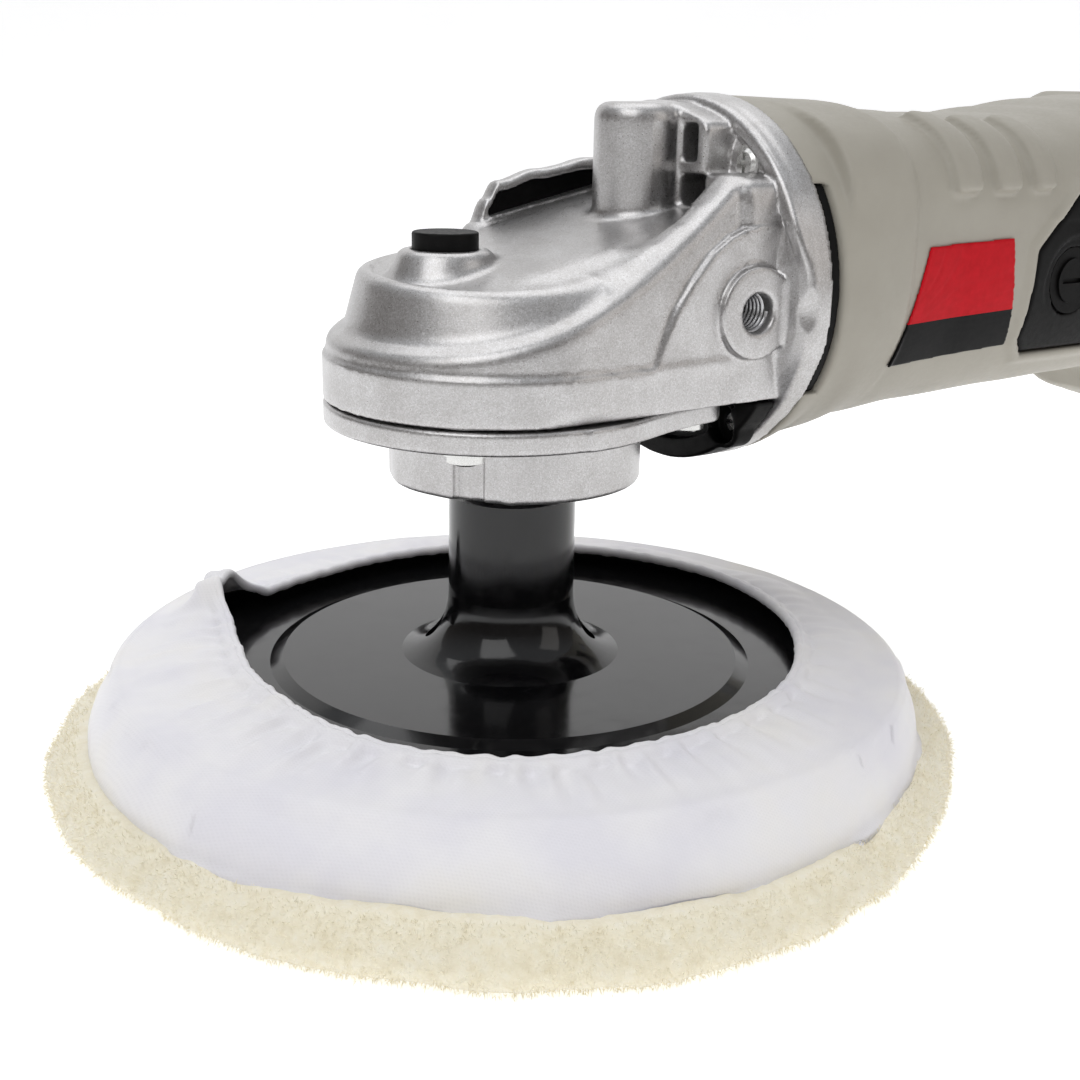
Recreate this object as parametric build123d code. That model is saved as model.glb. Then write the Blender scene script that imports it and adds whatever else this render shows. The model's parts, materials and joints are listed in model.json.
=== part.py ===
"""Rotary polisher: angle head, series motor, closed rear handle and a wool bonnet on a backing plate.

Millimetres, +Z up. The origin is on the spindle axis, at the working face of the wool pad.
+X runs along the motor towards the rear handle.
"""
import os
from math import acos, atan, cos, degrees, pi, radians, sin, tan

from build123d import *

# ---- driving dimensions -------------------------------------------------------------------
MOTOR_Z = 105.5            # height of the armature axis above the working face
SHAFT_GAP = 31.25          # spindle axis to countershaft axis
JOINT_X = 52.8             # face where the gear housing meets the motor housing
RING_R = 42.6              # flange of the gear housing
SEAM_Z = 84.0              # face between gear housing and bearing cover
COVER_THICK = 5.0
BAND_TOP = 94.5            # top of the upright band of the gear housing
NOSE_X = -4.9              # centre of the round nose of the head
NOSE_R = 37.3
REAR_HALF = 35.0           # half width of the head at the flange
COLLAR_R = 28.3
COLLAR_BOTTOM = 66.0
PLATEAU_FRONT = (-30.0, 110.5)
PLATEAU_REAR = (31.25, 124.0)
LOCK_X = -17.4
LOCK_CAP_R = 7.0
LOCK_TRAVEL = 4.5
SIDE_BOSS_X = 38.0         # threaded bosses for the side handle
SIDE_BOSS_Z = 103.9
SIDE_BOSS_FACE = 35.6
M8_BORE_R = 3.4            # minor radius of an M8 thread
M8_DEPTH = 16.0

GEAR_TEETH = 40
GEAR_PINION_TEETH = 10
GEAR_MODULE = 1.25
BEVEL_TEETH = 28
BEVEL_PINION_TEETH = 12
BEVEL_PITCH_R = 19.0
PRESSURE_ANGLE = radians(20)
GEAR_BOTTOM = 85.6
GEAR_TOP = 93.4
BACKLASH = 0.45
RUN_FIT = 0.03             # radial clearance of a shaft turning in a bearing

PLATE_R = 88.0             # backing plate
PLATE_Z = (19.6, 24.5)
DISC_R = 52.0
HUB_R = 14.3
HUB_TOP = 61.5
THREAD_R = 7.0             # M14 spindle thread
SLEEVE_R = 94.0            # widest line of the fabric sleeve
WOOL_R = 102.5
HEM_R = 66.0
HEM_Z = 27.2

BRUSH_X = 139.5
BODY_REAR = 190.0
COVER_SCREWS = [(-26, 23), (-26, -23), (33, 20), (33, -20)]
HANDLE_SCREWS = [(221, 133), (221, 63), (292, 129), (329, 92), (300, 62)]
TRIGGER_PIVOT = (242, 118)
LOCK_ON_AT = (258, 131)
DIAL_AT = (206, 141)
DIAL_R = 12.0
INLET_Z = 88.0
FLANGE_SCREWS = [(sy * 22, MOTOR_Z + sz * 28.5) for sy in (-1, 1) for sz in (-1, 1)]

# Stations along the motor housing: X, half width, top Z, bottom Z.
BODY_FRONT = [(JOINT_X, 42.3, 147.6, 64.0), (66, 42.3, 147.4, 65.5), (78, 41.2, 147.0, 67.5)]
BODY_WAIST = [(76, 39.9, 145.4, 68.9), (100, 38.4, 144.4, 70.5), (136, 38.0, 144.6, 73.0),
              (160, 38.0, 147.0, 74.5), (BODY_REAR, 38.0, 149.5, 76.5)]


# ---- small helpers ------------------------------------------------------------------------
def drum(radius, z0, z1, x=0.0, y=0.0):
    """Upright cylinder between two heights."""
    return Pos(x, y, (z0 + z1) / 2) * Cylinder(radius, z1 - z0)


def tube(outer, inner, z0, z1, x=0.0, y=0.0):
    return drum(outer, z0, z1, x, y) - drum(inner, z0 - 1, z1 + 1, x, y)


def rod_x(radius, x0, x1, y=0.0, z=MOTOR_Z):
    """Cylinder lying along X."""
    return Pos((x0 + x1) / 2, y, z) * Rot(0, 90, 0) * Cylinder(radius, x1 - x0)


def pipe_x(outer, inner, x0, x1, y=0.0, z=MOTOR_Z):
    return rod_x(outer, x0, x1, y, z) - rod_x(inner, x0 - 1, x1 + 1, y, z)


def rod_y(radius, y0, y1, x, z):
    """Cylinder lying along Y."""
    return Pos(x, (y0 + y1) / 2, z) * Rot(90, 0, 0) * Cylinder(radius, y1 - y0)


def block(x0, x1, y0, y1, z0, z1):
    return Pos((x0 + x1) / 2, (y0 + y1) / 2, (z0 + z1) / 2) * Box(x1 - x0, y1 - y0, z1 - z0)


def turned(*points):
    """Solid of revolution about Z from (radius, z) points."""
    face = Plane.XZ * make_face(Polyline(*points, close=True))
    return revolve(face, Axis.Z, 360)


def rise(face, height):
    """Extrude a horizontal face upwards."""
    return extrude(face, height, dir=(0, 0, 1))


def bar_y(radius, reach_in, reach_out, side, x, z):
    """Cylinder along Y on one side of the tool, given by its distances from the middle plane."""
    y0, y1 = sorted((side * reach_in, side * reach_out))
    return rod_y(radius, y0, y1, x, z)


def mirrored(shape):
    return mirror(shape, Plane.XZ)


def one(shape):
    """The largest solid of a boolean result."""
    return max(shape.solids(), key=lambda s: s.volume)


def save(name, *shapes):
    solids = [s for shape in shapes for s in shape.solids()]
    result = solids[0] if len(solids) == 1 else Compound(children=solids)
    result.label = name
    export_step(result, f"parts/{name}.step")


def ball_bearing(bore, outer, width, balls):
    """Two rings and their balls, centred on the origin about Z."""
    span = outer - bore
    inner_ring = tube(bore + 0.3 * span, bore, -width / 2, width / 2)
    outer_ring = tube(outer, outer - 0.3 * span, -width / 2, width / 2)
    ball_r = 0.19 * span
    mid = (outer + bore) / 2
    turns = [Rot(0, 0, 360 * i / balls) * Pos(mid, 0, 0) * Sphere(ball_r) for i in range(balls)]
    return [inner_ring, outer_ring] + turns


def placed(shapes, place):
    return [place * shape for shape in shapes]


def pan_screw(length, shank=2.0, head=3.9):
    """Cross-head pan screw along Z: the head rests on z = 0, the shank goes down."""
    dome = Pos(0, 0, 0.7) * Cylinder(head, 1.4) + Pos(0, 0, 1.4) * Cone(head, head * 0.62, 1.3)
    cross = Box(head * 1.1, 0.9, 3) + Box(0.9, head * 1.1, 3)
    return dome + Pos(0, 0, -length / 2) * Cylinder(shank, length) - Pos(0, 0, 2.6) * cross


# ---- gears --------------------------------------------------------------------------------
def involute(angle):
    return tan(angle) - angle


def half_tooth(teeth, pitch, r):
    """Half thickness angle of an involute tooth at radius r, thinned for backlash."""
    base = pitch * cos(PRESSURE_ANGLE)
    roll = acos(min(1.0, base / max(r, base)))
    at_pitch = pi / (2 * teeth) - BACKLASH / (2 * pitch)
    return at_pitch + involute(PRESSURE_ANGLE) - involute(roll)


def toothed(teeth, flank):
    """Closed outline: flank is a list of (radius, half angle) from root to tip."""
    points = []
    for i in range(teeth):
        centre = 2 * pi * i / teeth
        side = [(r, centre - h) for r, h in flank] + [(r, centre + h) for r, h in reversed(flank)]
        points += [(r * cos(t), r * sin(t)) for r, t in side]
    return make_face(Polyline(*points, close=True))


def spur_gear(teeth, pitch, tip, root, z0, z1):
    radii = [root, pitch * 0.985, pitch + 0.35 * (tip - pitch), tip]
    flank = [(r, half_tooth(teeth, pitch, r)) for r in radii]
    return extrude(Pos(0, 0, z0) * toothed(teeth, flank), z1 - z0)


def bevel_teeth(teeth, mate, reach=1.0):
    """Toothed cone about Z with its apex at the origin, opening downwards.

    The involute is laid out on the back cone, and each point runs to the apex.
    """
    delta = atan(teeth / mate)
    pitch = BEVEL_PITCH_R * teeth / BEVEL_TEETH
    cone = pitch / sin(delta)
    module = 2 * pitch / teeth
    virtual_teeth = teeth / cos(delta)
    virtual_pitch = pitch / cos(delta)
    depth = cone * cos(delta)
    flank = []
    for rise in (-1.1 * module, -0.3 * module, 0.3 * module, 0.8 * module):
        r = virtual_pitch + rise
        half = r * half_tooth(virtual_teeth, virtual_pitch, r) / (pitch + rise * cos(delta))
        flank.append((depth * tan(delta + atan(rise / cone)), half))
    ends = [Pos(0, 0, -depth * k) * toothed(teeth, [(r * k, h) for r, h in flank]) for k in (reach, 0.66)]
    return loft(ends, ruled=True)


# ---- gear housing and cover ---------------------------------------------------------------
def head_outline(inset, rear=JOINT_X):
    """Plan of the head: a round nose, tangent to a straight rear edge."""
    nose = Pos(NOSE_X, 0) * Circle(NOSE_R - inset)
    tail = Pos((rear - inset) / 2 + 10, 0) * Rectangle(rear - inset - 20, 2 * (REAR_HALF - inset))
    return make_hull((nose.edges() + tail.edges()))


def plateau_plane(drop=0.0):
    """Sloping top face of the head."""
    (x0, z0), (x1, z1) = PLATEAU_FRONT, PLATEAU_REAR
    slope = degrees(atan((z1 - z0) / (x1 - x0)))
    return Plane(Location((x0, 0, z0 - drop), (0, -slope, 0)))


def gear_housing():
    band = rise(Pos(0, 0, SEAM_Z) * head_outline(0), BAND_TOP - SEAM_Z)
    foot = Pos(0, 0, BAND_TOP - 1) * head_outline(2.5)
    crown = Pos(0, 0, BAND_TOP + 49) * head_outline(14)
    shoulder = loft([foot, crown])
    above = Pos(60, 0, 60) * Box(200, 200, 120)
    shoulder -= plateau_plane() * above
    ring = rod_x(RING_R, 44, JOINT_X)
    rear = rod_x(RING_R - 1.5, 36, 44) & block(36, 44, -31, 31, SEAM_Z, 150)
    tall_boss = drum(9.5, 115, 146, SHAFT_GAP) + block(SHAFT_GAP, 44, -4, 4, 115, 145.5)
    lock_boss = Pos(LOCK_X, 0, 112) * Cone(12.5, 9.4, 9)
    body = band + shoulder + ring + rear + tall_boss + lock_boss
    for side in (-1, 1):
        body += bar_y(10.8, 20, SIDE_BOSS_FACE, side, SIDE_BOSS_X, SIDE_BOSS_Z)
    # gear chamber, bevel chamber, pinion chamber and the bore towards the fan
    body -= rise(Pos(0, 0, SEAM_Z - 1) * head_outline(4.5, 50), BAND_TOP - SEAM_Z + 1)
    body -= drum(21.6, SEAM_Z, 103, SHAFT_GAP)
    body -= rod_x(11.5, 36.5, JOINT_X + 1)
    body -= rod_x(28, 47, JOINT_X + 1) - block(40, 60, -40, 40, 50, SEAM_Z + 6)
    for x, y in COVER_SCREWS:
        body += drum(5, SEAM_Z, BAND_TOP - 0.6, x, y)
        body -= drum(2.0, SEAM_Z - 1, 93, x, y)
    # bearing seats on the spindle and on the countershaft
    body -= drum(11, BAND_TOP - 1, 109)
    body -= drum(8, 108, 112)
    body -= drum(5.5, 100, 122, SHAFT_GAP)
    body -= drum(6, 122, 137, SHAFT_GAP)
    # spindle lock: cap bore, spring pocket and pin guide
    body -= drum(LOCK_CAP_R + 0.15, 110, 120, LOCK_X)
    body -= drum(5.2, 104, 111, LOCK_X)
    body -= drum(3.05, 90, 105, LOCK_X)
    # threaded side bosses
    for side in (-1, 1):
        body -= bar_y(M8_BORE_R, SIDE_BOSS_FACE - M8_DEPTH, SIDE_BOSS_FACE + 1, side, SIDE_BOSS_X, SIDE_BOSS_Z)
    # air windows beside the tall boss, and pockets for the upper flange screws
    for side in (-1, 1):
        for z0, z1, half in ((126.5, 133, 2.8), (134.5, 141, 2.4)):
            body -= block(34, JOINT_X + 1, side * 13.2 - half, side * 13.2 + half, z0, z1)
        body -= rod_x(5.6, 36, 46, side * 22, MOTOR_Z + 28.5)
        body -= block(30, 46, side * 22 - 5.6, side * 22 + 5.6, MOTOR_Z + 28.5, 150)
    body -= rod_x(36, 43, 47) & block(43, 47, -40, 40, 50, SEAM_Z)
    for y, z in FLANGE_SCREWS:
        body -= rod_x(2.0, 40, JOINT_X + 1, y, z)
        if z < MOTOR_Z:
            body -= rod_x(5.6, 43, 47, y, z)
    return one(body)


def cover_outline(inset=0.0):
    corners = [Pos(33, s * 20) * Circle(7 - inset) for s in (-1, 1)]
    nose = Pos(NOSE_X, 0) * Circle(NOSE_R - inset)
    return make_hull(nose.edges() + corners[0].edges() + corners[1].edges())


def bearing_cover():
    """Cover plate with the collar that carries the lower spindle bearing."""
    cover = rise(Pos(0, 0, SEAM_Z - COVER_THICK) * cover_outline(), COVER_THICK)
    collar = drum(COLLAR_R, COLLAR_BOTTOM, SEAM_Z - COVER_THICK)
    collar = chamfer(collar.edges().group_by(Axis.Z)[0], 1.0)
    cover += collar
    for i in range(12):
        angle = radians(128 + 9.5 * i)
        cover -= drum(1.5, COLLAR_BOTTOM - 1, SEAM_Z - COVER_THICK, (COLLAR_R + 0.5) * cos(angle),
                      (COLLAR_R + 0.5) * sin(angle))
    cover -= drum(17.5, 70, SEAM_Z + 1)
    cover -= drum(12.5, COLLAR_BOTTOM - 1, 71)
    cover -= drum(6, 80, SEAM_Z + 1, SHAFT_GAP)
    for x, y in COVER_SCREWS:
        cover -= drum(2.0, 78, SEAM_Z + 1, x, y)
        cover -= drum(4.8, 70, SEAM_Z - COVER_THICK, x, y)
    return one(cover)


def cover_screws():
    washers = [tube(4.6, 2.0, 78.2, 79, x, y) for x, y in COVER_SCREWS]
    screws = [Pos(x, y, 78.2) * Rot(180, 0, 0) * pan_screw(13.5) for x, y in COVER_SCREWS]
    return screws + washers


def air_baffle():
    """Black half-moon that closes the flange below the gear chamber."""
    moon = rod_x(35.8, 41, 47) & block(41, 47, -40, 40, 50, SEAM_Z - 0.3)
    for y, z in FLANGE_SCREWS:
        moon -= rod_x(6.2, 40, 48, y, z)
    moon -= rod_x(16, 40, 48)
    return one(moon)


def flange_screws():
    turn = Rot(0, -90, 0)
    upper = [Pos(46, y, z) * turn * pan_screw(14) for y, z in FLANGE_SCREWS if z > MOTOR_Z]
    lower = [Pos(47, y, z) * turn * pan_screw(13) for y, z in FLANGE_SCREWS if z < MOTOR_Z]
    return upper + lower


# ---- motor housing ------------------------------------------------------------------------
def body_section(station):
    """Rounded section across the motor housing, wider at the shoulders than below."""
    x, half, top, bottom = station
    height = top - bottom
    face = Plane((x, 0, (top + bottom) / 2), x_dir=(0, 1, 0), z_dir=(1, 0, 0))
    return face * RectangleRounded(2 * half, height, min(half, height / 2) * 0.62)


def body_shell(stations):
    return loft([body_section(s) for s in stations], ruled=True)


def side_vent(side):
    """Black air slot let into the front edge of the motor housing."""
    strip = body_shell(BODY_FRONT) & block(JOINT_X, 57, 38.5, 45, 87, 130)
    return one(strip if side > 0 else mirrored(strip))


def name_plate(side):
    """Two-colour trapezoid plate that follows the side of the housing."""
    grown = [(x, half + 0.5, top + 0.5, bottom - 0.5) for x, half, top, bottom in BODY_WAIST]
    skin = body_shell(grown) - body_shell(BODY_WAIST)
    outline = make_face(Polyline((78.6, 89.5), (86.0, 116.5), (114.0, 116.5), (117.0, 91.5), close=True))
    plate = one(skin & extrude(Plane.XZ * outline, 60, both=True) & block(60, 130, 30, 50, 80, 130))
    return plate if side > 0 else mirrored(plate)


def motor_housing():
    body = body_shell(BODY_FRONT) + body_shell(BODY_WAIST)
    body -= rod_x(35, JOINT_X - 1, 78)
    body -= rod_x(31, 78, 127)
    body -= rod_x(28, 127, 151)
    body -= rod_x(9.5, 150, 158)
    body -= rod_x(6, 150, 165)
    body -= block(163, BODY_REAR + 1, -31, 31, 86, 138)
    for y, z in FLANGE_SCREWS:
        boss = rod_x(5, 57, 62.5, y, z)
        body += boss
        body -= rod_x(2.0, JOINT_X - 1, 61, y, z)
    for side in (-1, 1):
        pocket = block(118, 168, 35.6, 45, 88, 126)
        body -= pocket if side > 0 else mirrored(pocket)
        body -= bar_y(8.2, 20, 40, side, BRUSH_X, MOTOR_Z)
        body -= side_vent(side)
    for i in range(3):
        x = 56.5 + 5.5 * i
        for side in (-1, 1):
            body -= block(x, x + 2.6, side * 10.5 - 5.5, side * 10.5 + 5.5, 55, 75)
    return one(body)


def brush_panel(side):
    """Dark side panel with cooling slots round the brush cap."""
    panel = block(118.3, 167.7, 35.7, 38.6, 88.3, 125.7)
    panel = fillet(panel.edges().filter_by(Axis.Y), 6)
    panel -= rod_y(8.2, 30, 40, BRUSH_X, MOTOR_Z)
    for i in range(5):
        z = 94 + 6.2 * i
        panel -= block(151.5, 164, 30, 40, z, z + 2.6)
    return panel if side > 0 else mirrored(panel)


def brush_holder(side):
    holder = rod_y(8.1, 22, 37.0, BRUSH_X, MOTOR_Z) - block(134.9, 144.1, 12, 33, 101.9, 109.1)
    holder -= rod_y(5.5, 32, 38, BRUSH_X, MOTOR_Z)
    return holder if side > 0 else mirrored(holder)


def brush_cap(side):
    cap = rod_y(5.5, 33.2, 37.6, BRUSH_X, MOTOR_Z)
    cap -= block(BRUSH_X - 4, BRUSH_X + 4, 36.4, 38, MOTOR_Z - 0.6, MOTOR_Z + 0.6)
    return cap if side > 0 else mirrored(cap)


def carbon_brush(side):
    brush = block(135.0, 144.0, 11.4, 26.5, 102.0, 109.0) - rod_x(11.4, 130, 150)
    return brush if side > 0 else mirrored(brush)


def bearings():
    """Every bearing of the drive, by name."""
    lie = Rot(0, 90, 0)
    return {
        "spindle_bearing_lower": placed(ball_bearing(7.5, 17.5, 11, 9), Pos(0, 0, 75.5)),
        "spindle_bearing_upper": placed(ball_bearing(5, 11, 6, 9), Pos(0, 0, 106)),
        "armature_bearing_front": placed(ball_bearing(4, 11, 7, 8), Pos(57.4, 0, MOTOR_Z) * lie),
        "armature_bearing_rear": placed(ball_bearing(3.5, 9.5, 6, 8), Pos(154, 0, MOTOR_Z) * lie),
        "countershaft_bush_lower": [tube(6, 4, 80.1, 84, SHAFT_GAP)],
        "countershaft_bush_upper": [tube(6, 4, 124, 134, SHAFT_GAP)],
    }


def coil(radius, wire, turns, z0, z1):
    """Compression spring about Z, drawn as a round-section helix."""
    height = z1 - z0 - 2 * wire
    path = Helix(pitch=height / turns, height=height, radius=radius)
    section = Plane(path @ 0, z_dir=path % 0) * Circle(wire)
    return Pos(0, 0, z0 + wire) * sweep(section, path=path)


def brush_spring(side):
    spring = Pos(BRUSH_X, 26.5, MOTOR_Z) * Rot(-90, 0, 0) * coil(2.6, 0.3, 5, 0.0, 6.6)
    return spring if side > 0 else mirrored(spring)


def bearing_bridge():
    """Cast bridge that holds the front armature bearing."""
    bridge = rod_x(29.5, JOINT_X, 56) + rod_x(14, JOINT_X, 61)
    bridge -= rod_x(11, 53.8, 62)
    bridge -= rod_x(6, 50, 56)
    for i in range(6):
        angle = radians(60 * i + 30)
        bridge -= rod_x(4.4, 50, 58, 22 * cos(angle), MOTOR_Z + 22 * sin(angle))
    return one(bridge)


def stator_core():
    core = pipe_x(31, 18.6, 82, 118)
    for side in (-1, 1):
        slot = rod_x(25, 80, 120) - rod_x(22, 80, 120)
        core -= slot & block(80, 120, min(0, side * 40), max(0, side * 40), MOTOR_Z - 14, MOTOR_Z + 14)
    return one(core)


def field_coils():
    """Saddle windings: end turns that stand out of both ends of the core."""
    ends = []
    for x0, x1 in ((77, 82), (118, 124)):
        ring = pipe_x(27.5, 20.5, x0 + 0.2, x1 - 0.2)
        ends += [ring & block(70, 130, -30, 30, MOTOR_Z + 5, 150)]
        ends += [ring & block(70, 130, -30, 30, 60, MOTOR_Z - 5)]
    return ends


# ---- drive train --------------------------------------------------------------------------
def spindle():
    """M14 end, flange, bearing seats, keyway and groove."""
    shaft = drum(THREAD_R - 0.05, 44, 63) + drum(11, 62.5, 66.5) + drum(9.5, 66.5, 69.8)
    shaft += drum(7.5 - RUN_FIT, 69.8, 82) + drum(THREAD_R, 82, 101) + drum(5 - RUN_FIT, 101, 110.5)
    return shaft - gear_key() - tube(9.5, THREAD_R - 0.6, 94.2, 95.4)


def spindle_gear():
    pitch = GEAR_TEETH * GEAR_MODULE / 2
    gear = spur_gear(GEAR_TEETH, pitch, pitch + 1.05, pitch - 1.45, GEAR_BOTTOM, GEAR_TOP)
    gear += drum(11, 82.6, GEAR_TOP)
    gear -= drum(THREAD_R, 80, 100)
    for i in range(4):
        angle = pi / 2 * i
        gear -= drum(3.6, 80, 100, -LOCK_X * cos(angle), -LOCK_X * sin(angle))
    return gear - block(5, 9.2, -2, 2, 82, 95)


def gear_key():
    return block(5.2, 9.1, -1.98, 1.98, 85, 92.5)


def retaining_ring():
    ring = tube(9.2, THREAD_R - 0.6, 94.2, 95.4)
    return ring - block(4, 12, -2.2, 2.2, 93, 97)


def countershaft():
    pitch = GEAR_PINION_TEETH * GEAR_MODULE / 2
    teeth = spur_gear(GEAR_PINION_TEETH, pitch, pitch + 1.05, pitch - 1.45, 85.2, 93.8)
    half_pitch = 180 / GEAR_PINION_TEETH
    shaft = Rot(0, 0, 180 + half_pitch) * teeth
    shaft += drum(4 - RUN_FIT, 80.2, 85.2) + drum(4, 85.2, 122) + drum(4 - RUN_FIT, 121, 134)
    return Pos(SHAFT_GAP, 0, 0) * shaft


def bevel_gear():
    reach = 1.18
    gear = bevel_teeth(BEVEL_TEETH, BEVEL_PINION_TEETH, reach) & Cylinder(19.4, 60)
    base = -BEVEL_PITCH_R * BEVEL_PINION_TEETH / BEVEL_TEETH * reach
    gear += drum(18.8, base - 1.6, base) + drum(8, base - 1.6, -4.4)
    gear -= Cylinder(4, 60)
    return Pos(SHAFT_GAP, 0, MOTOR_Z) * one(gear)


def bevel_pinion():
    pinion = bevel_teeth(BEVEL_PINION_TEETH, BEVEL_TEETH) + drum(5.2, -21.2, -18.9)
    pinion -= Cylinder(2.5, 60)
    half_pitch = 180 / BEVEL_PINION_TEETH
    turn = Rot(0, -90, 0) * Rot(0, 0, half_pitch)
    return Pos(SHAFT_GAP, 0, MOTOR_Z) * turn * pinion


def pinion_nut():
    nut = Rot(0, 90, 0) * extrude(RegularPolygon(4.0, 6), 2.4)
    return Pos(41.2, 0, MOTOR_Z) * nut - rod_x(2.5, 40, 45)


def armature_shaft():
    shaft = rod_x(2.5, 40.6, 53) + rod_x(4 - RUN_FIT, 52.6, 61.4) + rod_x(5, 61.4, 146)
    return shaft + rod_x(3.5 - RUN_FIT, 146, 158.5)


def armature_core():
    core = pipe_x(18, 5, 82, 118)
    for i in range(12):
        angle = 2 * pi * i / 12
        core -= rod_x(1.7, 80, 120, 15.2 * cos(angle), MOTOR_Z + 15.2 * sin(angle))
    return core


def armature_windings():
    front = pipe_x(16.5, 5, 76, 82)
    rear = pipe_x(16.5, 5, 118, 127)
    return [fillet(w.edges().group_by(SortBy.LENGTH)[-1], 2.2) for w in (front, rear)]


def commutator():
    drum_part = pipe_x(11, 5, 131, 147)
    for i in range(24):
        angle = 2 * pi * i / 24
        slot = block(130, 144, 10.2, 12, -0.25, 0.25)
        drum_part -= Pos(0, 0, MOTOR_Z) * Rot(degrees(angle), 0, 0) * slot
    return drum_part


def cooling_fan():
    fan = pipe_x(8, 5, 63.5, 74) + pipe_x(32.5, 5, 72.2, 74)
    for i in range(11):
        blade = block(64.5, 72.4, 7, 31.5, -0.8, 0.8)
        fan += Pos(0, 0, MOTOR_Z) * Rot(360 * i / 11, 0, 0) * blade
    return fan


# ---- spindle lock -------------------------------------------------------------------------
def lock_pin():
    return drum(3, GEAR_TOP + 1, 117.5, LOCK_X)


def lock_cap():
    cap = drum(LOCK_CAP_R, 115, 119.9, LOCK_X)
    cap = fillet(cap.edges().group_by(Axis.Z)[-1], 0.5)
    return cap - drum(3, 114, 117.5, LOCK_X)


def lock_spring():
    return Pos(LOCK_X, 0, 0) * coil(4.1, 0.35, 5, 104, 115)


# ---- backing plate and bonnet -------------------------------------------------------------
def backing_plate():
    """Moulded plate: raised disc, groove, flared hub and two spanner holes."""
    low, top = PLATE_Z
    outline = Polyline((0, low), (PLATE_R - 2, low), (PLATE_R, low + 1.5), (PLATE_R, low + 2.6),
                       (DISC_R + 3, top - 1.2), (DISC_R, top), (25, top))
    flare = Bezier((25, top), (18.5, top + 1.5), (HUB_R, top + 6), (HUB_R, top + 14))
    hub = Polyline((HUB_R, top + 14), (HUB_R, HUB_TOP), (0, HUB_TOP), (0, low))
    plate = revolve(Plane.XZ * make_face(outline + flare + hub), Axis.Z, 360)
    plate -= drum(10.5, 42, 80)
    plate -= drum(THREAD_R, 40, 60)
    plate -= drum(9.5, 27, 42.5)
    for side in (-1, 1):
        angle = radians(-33)
        plate -= drum(2.2, top + 1.5, top + 10, 17.5 * side * cos(angle), 17.5 * side * sin(angle))
    return one(plate)


def hub_insert():
    """Steel bush with the M14 thread, moulded into the hub."""
    return tube(10.5, THREAD_R, 43, 60) - block(9.6, 12, -20, 20, 40, 62)


def foam_pad():
    return turned((0, 8.6), (84, 8.6), (PLATE_R - 1, 12), (PLATE_R - 1, PLATE_Z[0] - 0.1), (0, PLATE_Z[0] - 0.1))


def wool_pad():
    """Pile of the bonnet: under the foam and round its edge."""
    low = PLATE_Z[0]
    arc = [(92.5 + 10 * sin(radians(a)), 9.5 - 9.5 * cos(radians(a))) for a in range(0, 121, 15)]
    return turned((0, 0), *arc, (SLEEVE_R - 1, low + 0.4), (88.6, low + 0.4), (88.6, 11), (85, 8.2), (0, 8.2))


def bonnet_sleeve():
    """Fabric skirt that is drawn over the edge of the plate."""
    low = PLATE_Z[0]
    outer = [(SLEEVE_R, low + 1.0), (93, low + 4.2), (88, low + 7.4), (78, low + 9.4), (70, low + 9.8), (68.2, 28)]
    inner = [(68.2, 26.2), (71, 27.6), (78, 27.4), (86.5, 25.4), (91, low + 3.4), (91.5, low + 1.0)]
    return turned(*outer, *inner)


def hem_elastic():
    return Pos(0, 0, HEM_Z) * Torus(HEM_R, 1.7)


# ---- rear handle --------------------------------------------------------------------------
def loop_profile(inset):
    """Side view of the closed handle, with its finger gap."""
    outer = Polyline((150, 147.5), (228, 151.5), (318, 147), (337, 134), (343, 100), (338, 66),
                     (322, 52), (238, 54), (210, 63), (190, 76.5), (150, 79), close=True)
    gap = Polyline((232, 113), (300, 110), (314, 102), (314, 80), (304, 72), (240, 73), (226, 82),
                   (225, 104), close=True)
    wall = offset(offset(make_face(outer), -14 - inset), 14)
    hole = offset(offset(make_face(gap), -9 + inset), 9)
    return wall - hole


def loop_plan(inset):
    """Top view of the handle: from the width of the motor housing down to the grip."""
    half = 17.5 - inset
    wide = 38.0 - inset
    curve = Bezier((BODY_REAR, wide), (212, wide), (212, half), (236, half))
    side = Polyline((236, half), (345, half), (345, 0), (BODY_REAR, 0), (BODY_REAR, wide))
    return make_face(curve + side)


def handle_half(side):
    outer = extrude(Plane.XZ * loop_profile(0), 45, both=True)
    outer &= extrude(Pos(0, 0, 40) * loop_plan(0), 120)
    hollow = extrude(Plane.XZ * loop_profile(3), 45, both=True)
    hollow &= extrude(Pos(0, 0, 40) * loop_plan(3), 120)
    half = outer - hollow
    half -= block(238, 272, -1, 7.2, 106, 121)
    half -= block(193.5, 218.5, -1, 3.6, 140, 155)
    half -= rod_x(7.0, 330, 350, 0, INLET_Z)
    half += bar_y(4, 7.2, 15, 1, *TRIGGER_PIVOT) - bar_y(1.5, 7, 12, 1, *TRIGGER_PIVOT)
    half = one(half)
    return handle_bosses(half if side > 0 else mirrored(half), side)


def handle_bosses(half, side):
    """Screw posts across the shell; the screws come from the left."""
    if side < 0:
        half -= rod_y(4.05, -30, 0, *LOCK_ON_AT)
    for x, z in HANDLE_SCREWS:
        y0, y1 = (0, 16) if side > 0 else (-16, 0)
        half += rod_y(4.2, y0, y1, x, z)
        half -= rod_y(1.8, -18, 12, x, z)
        if side < 0:
            half -= rod_y(4.0, -25, -13.5, x, z)
    return one(half)


def trigger():
    """Rocking trigger: a curved finger face below the grip, hinged at its front."""
    back = Polyline((239, 112), (239, 121.3), (266, 121.3), (270, 117.5), (269, 108.5))
    front = ThreePointArc((269, 108.5), (254, 103.6), (239, 112))
    body = extrude(Plane.XZ * make_face(back + front), 6.8, both=True)
    body = fillet(body.edges().filter_by(Axis.Y, reverse=True).group_by(Axis.Z)[0], 1.5)
    return body - rod_y(1.55, -9, 9, *TRIGGER_PIVOT)


def trigger_pin():
    return rod_y(1.5, -12, 12, *TRIGGER_PIVOT)


def lock_on_button():
    return rod_y(4.0, -19.8, -12.2, *LOCK_ON_AT)


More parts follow.
